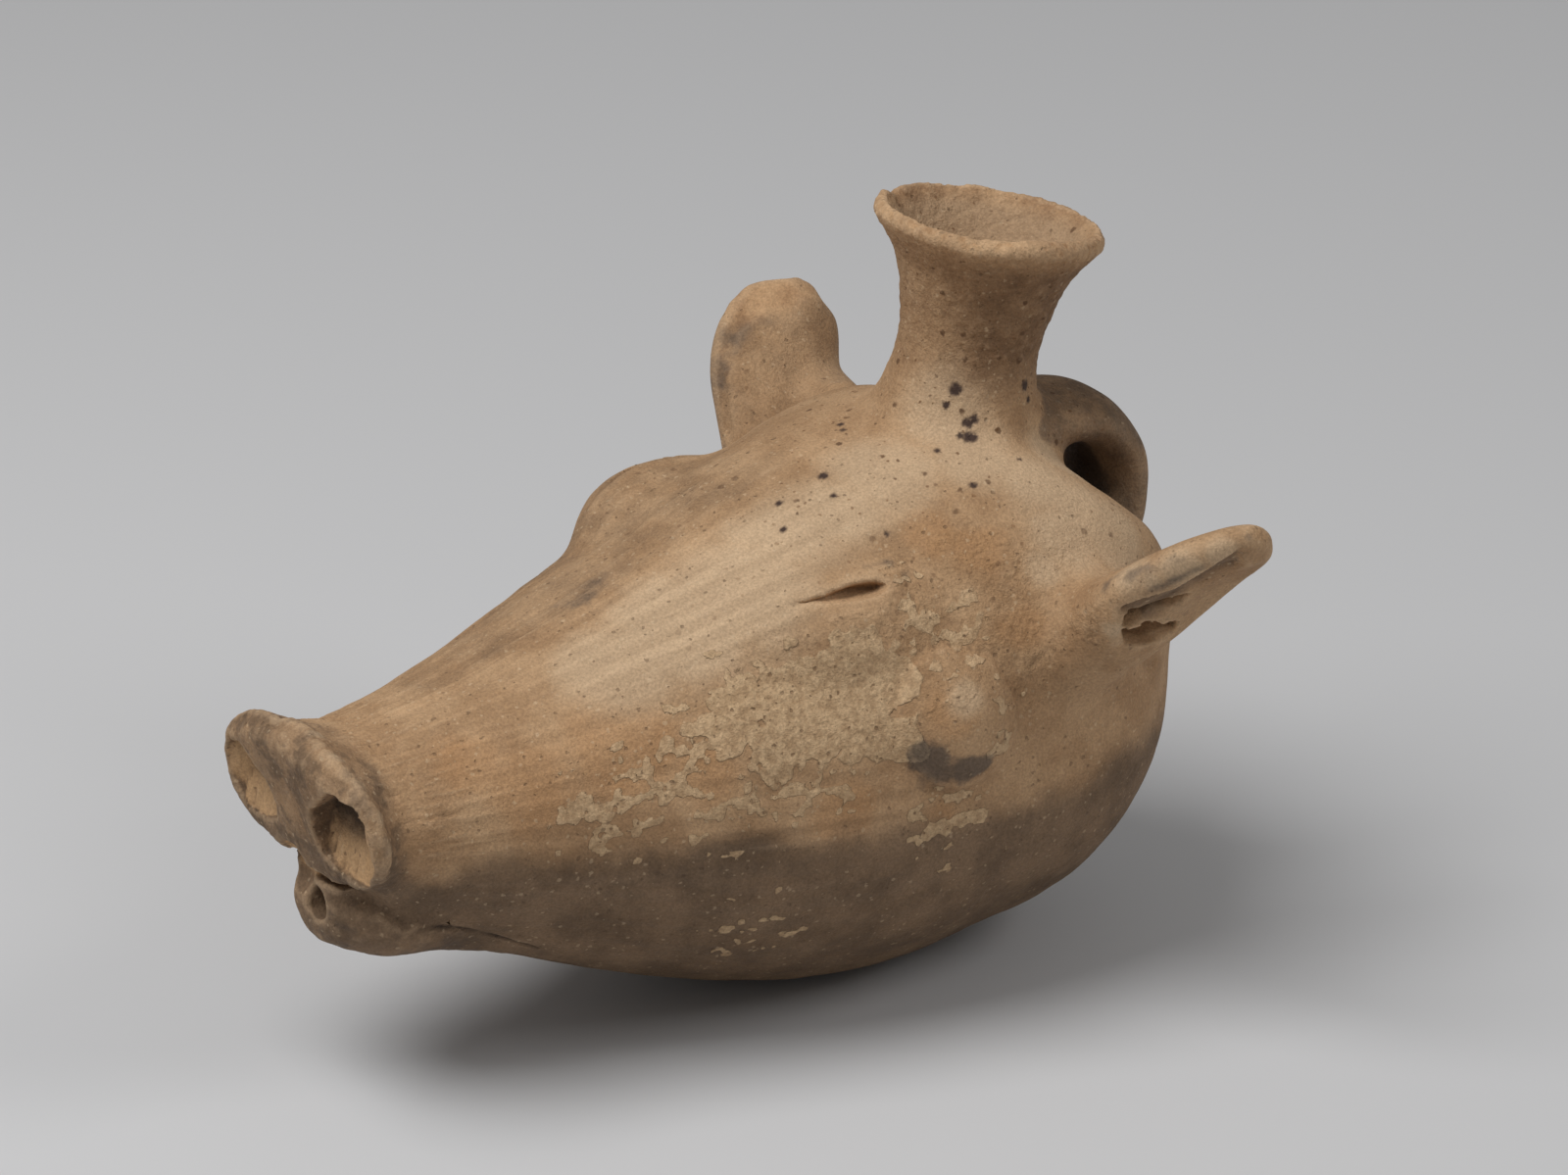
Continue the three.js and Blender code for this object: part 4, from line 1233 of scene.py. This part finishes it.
edge_group, given, out = group_of(
    "ragged_stain", {"Mask": 0.0, "Spread": 0.5, "Size": 0.003, "Softness": 0.3}, ("Stain",)
)
scale = reckon(edge_group, "DIVIDE", 1.0, given["Size"])
tear = reckon(edge_group, "SUBTRACT", cloudy(edge_group, given["Place"], scale, 5.0, 0.65)[0], 0.5)
shift = reckon(edge_group, "MULTIPLY", tear, given["Spread"])
torn_mask = reckon(edge_group, "ADD", given["Mask"], shift)
low, high = (reckon(edge_group, how, 0.5, given["Softness"]) for how in ("SUBTRACT", "ADD"))
edge_group.links.new(between(edge_group, torn_mask, low, high), out["Stain"])
print("node groups:", [g.name for g in (grit_group, speck_group, edge_group)])

# %% [markdown]
# ## The skin's finish
# On the skin the colours come in layers, the real ones in the order they came in life: the body of the
# clay, the fire's blush, the pale wash of lime, the smoke with some painted shade, the crust, soot with
# some painted shade, specks and spots, and last painted shade in the hollows and lighter raised edges.
# Each layer is one mix, and its mask comes from the points, often through the ragged stain.

# %% Tools for the layers
MIDDLE = (0.35, 0.65)
BUMP_HEIGHT, SHEEN = 0.001, 0.3


def begin(material):
    material.use_nodes = True
    tree = material.node_tree
    return tree, tree.nodes["Principled BSDF"], tree.nodes.new("ShaderNodeTexCoord").outputs["Object"]


def mask_of(name):
    node = tree.nodes.new("ShaderNodeAttribute")
    node.attribute_name = name
    return node.outputs["Fac"]


def stain(name, wide, size, softness=0.3):
    given = {"Place": place, "Mask": mask_of(name), "Spread": wide, "Size": size, "Softness": softness}
    return use(tree, edge_group, **given)["Stain"]


def specks_of(spacing, share, radius):
    return use(tree, speck_group, Place=place, Spacing=spacing, Share=share, Radius=radius)["Speck"]


# A coat is its mask, how well it covers, and its colour.
def coated(colour, coats):
    for share, weight, over in coats:
        colour = tinted(tree, reckon(tree, "MULTIPLY", share, weight), colour, over)
    return colour


def added_up(value, terms):
    for term, weight in terms:
        value = reckon(tree, "ADD", value, reckon(tree, "MULTIPLY", term, weight))
    return value


def finish(colour, height, dull):
    bump = set_node(tree, "ShaderNodeBump", Height=height, Distance=BUMP_HEIGHT)
    for name, value in (("Base Color", colour), ("Normal", bump.outputs[0]), ("Roughness", dull)):
        tree.links.new(value, shader.inputs[name])
    shader.inputs["Specular IOR Level"].default_value = SHEEN


# %% Colours of the skin
tree, shader, place = begin(fired_clay)
grit_out = use(tree, grit_group, Place=place, Size=0.0007)
# Specks have a spacing in metres, the share of cells that hold one, and a radius in cells.
big_specks = specks_of(0.0042, 0.4, 0.22)
small_specks = specks_of(0.0019, 0.26, 0.24)
brown_specks = specks_of(0.0026, 0.36, 0.2)
tempering = specks_of(0.0014, 0.2, 0.36)
crust_pits = specks_of(0.0021, 0.34, 0.22)
speck_share = reckon(tree, "MULTIPLY", mask_of("specks"), 0.8)
# Stains are torn so widely, by noise of such a size in metres, with such a soft edge.
crust_stain, soot_and_shade_stain = stain("crust", 0.8, 0.0035, 0.1), stain("soot_and_shade", 1.0, 0.004, 0.4)
cloud_share = between(tree, grit_out["Cloud"], *MIDDLE)
smoke_and_shade_colour = tinted(tree, cloud_share, tone(98, 80, 63), tone(130, 106, 83))
break_colour = tinted(tree, cloud_share, tone(150, 112, 78), tone(198, 160, 120))
grain_share = between(tree, grit_out["Coarse"], *MIDDLE)
crust_body = tinted(tree, grain_share, tone(176, 145, 110), tone(208, 177, 139))
crust_colour = coated(crust_body, [(crust_pits, 0.7, tone(118, 89, 62))])
clay_body = tinted(tree, cloud_share, tone(170, 134, 98), tone(194, 158, 120))
colour = coated(clay_body, [
    (stain("blush", 0.7, 0.009), 0.5, tone(184, 138, 94)),
    (stain("pale", 0.6, 0.008, 0.5), 0.66, tone(214, 186, 152)),
    # The smoke coat also paints shade on the near ear's sunk face and the lip.
    (stain("smoke_and_shade", 0.7, 0.012), 0.92, smoke_and_shade_colour),
    (mask_of("brown"), 0.85, tone(112, 85, 62)),
    (mask_of("throat"), 0.6, tone(172, 146, 118)),
    (between(tree, mask_of("grime"), 0.4, 0.85), 0.5, tone(80, 66, 54)),
    (between(tree, mask_of("wiped"), 0.3, 0.75, 1.0, 0.0), 0.22, tone(124, 96, 68)),
    (tempering, 0.35, tone(214, 188, 154)),
    (crust_stain, 0.85, crust_colour),
    # The soot coat also paints shade: inside the handle's loop, under the lip and round the near eye.
    (soot_and_shade_stain, 0.75, tone(74, 68, 64)),
    # Fresh clay on the nostrils' floors, with painted light.
    (mask_of("fresh_lit_floor"), 0.85, tone(198, 160, 118)),
    (mask_of("broken"), 1.0, break_colour),
    (big_specks, speck_share, tone(92, 64, 42)),
    (brown_specks, speck_share, tone(116, 82, 52)),
    (small_specks, 0.5, tone(104, 80, 58)),
    (mask_of("spots"), 1.0, tone(70, 53, 45)),
    # Painted shade in the hollows, and lighter raised edges.
    (between(tree, mask_of("hollows"), 0.54, 0.9), 0.65, tone(70, 52, 38)),
    (between(tree, mask_of("hollows"), 0.48, 0.3), 0.3, tone(214, 182, 146)),
    # Dark cracks, and painted shade deep in the nostrils.
    (mask_of("cracks_and_nostril_shade"), 0.8, tone(52, 39, 30)),
])
grained = tree.nodes.new("ShaderNodeVectorMath")
grained.operation = "SCALE"
tree.links.new(colour, grained.inputs[0])
tree.links.new(between(tree, grit_out["Fine"], 0.3, 0.7, 0.82, 1.12), grained.inputs["Scale"])
print("layers in the skin's colour:", sum(n.bl_idname == "ShaderNodeMix" for n in tree.nodes))

# %% Roughness and relief of the skin
gritty = use(tree, grit_group, Place=place, Size=0.0012)["Fine"]
rough_share = reckon(tree, "MULTIPLY", stain("rough", 0.6, 0.003), 0.9)
crusted = reckon(tree, "MAXIMUM", crust_stain, rough_share)
height = added_up(reckon(tree, "MULTIPLY", grit_out["Fine"], 0.3), [
    (grit_out["Coarse"], 0.5),
    (reckon(tree, "MULTIPLY", gritty, crusted), 0.5),
    (crust_stain, 0.16),
    (reckon(tree, "MULTIPLY", crust_pits, crusted), -0.3),
    (small_specks, -0.2),
    (mask_of("spots"), -0.15),
])
dull = between(tree, grit_out["Coarse"], *MIDDLE, 0.72, 0.86)
finish(grained.outputs[0], height, added_up(dull, [(crusted, 0.12)]))
print("skin's roughness runs from 0.72 to 0.98")

# %% Finish of the core
tree, shader, place = begin(clay_core)
grit_out = use(tree, grit_group, Place=place, Size=0.0012)
core_body = tinted(tree, between(tree, grit_out["Cloud"], *MIDDLE), tone(122, 96, 72), tone(164, 132, 100))
colour = coated(core_body, [(specks_of(0.0024, 0.25, 0.36), 0.5, tone(206, 180, 146))])
height = added_up(grit_out["Coarse"], [(grit_out["Fine"], 0.3)])
finish(colour, height, between(tree, grit_out["Coarse"], *MIDDLE, 0.82, 0.95))
print("core's roughness runs from 0.82 to 0.95")

# %% [markdown]
# ## Floor and light
# The vessel stands on a plain pale sheet under one large soft lamp, high up and towards the snout. A
# weaker one hangs behind the ears on the boar's left, and a weak even light comes from everywhere else.
# Their strength is such that a surface facing the first lamp shows about its own colour.

# %% Lay the floor, hang the lamps
FLOOR_HALF = 6
LAMPS_LOOK_AT = Vector((0, 0, 0.09))
WORLD_LIGHT = 0.2
floor_mesh = bpy.data.meshes.new("floor")
corners = [(FLOOR_HALF * i, FLOOR_HALF * j, 0) for i, j in ((-1, -1), (1, -1), (1, 1), (-1, 1))]
floor_mesh.from_pydata(corners, [], [(0, 1, 2, 3)])
floor = new_object("floor", floor_mesh)
paper = bpy.data.materials.new("pale_paper")
paper.use_nodes = True
paper_shader = paper.node_tree.nodes["Principled BSDF"]
paper_shader.inputs["Base Color"].default_value = tone(206, 206, 207)
paper_shader.inputs["Roughness"].default_value = 0.9
floor_mesh.materials.append(paper)


def lamp(name, where, size, watts):
    made = new_object(name, bpy.data.lights.new(name, "AREA"))
    made.data.shape, made.data.size, made.data.energy = "DISK", size, watts
    aim(made, where, LAMPS_LOOK_AT - Vector(where))
    return made


key = lamp("soft_key", (-0.1, -0.75, 1.5), 1.1, 19.5)
side_light = lamp("soft_side", (1.2, 1.0, 1.3), 0.9, 7.5)
world = bpy.data.worlds.new("studio")
bpy.context.scene.world = world
world.use_nodes = True
world.node_tree.nodes["Background"].inputs["Color"].default_value = (1, 1, 1, 1)
world.node_tree.nodes["Background"].inputs["Strength"].default_value = WORLD_LIGHT
bpy.context.scene.view_settings.view_transform = "Standard"
print("lamps at", [[round(v, 2) for v in made.location] for made in (key, side_light)])
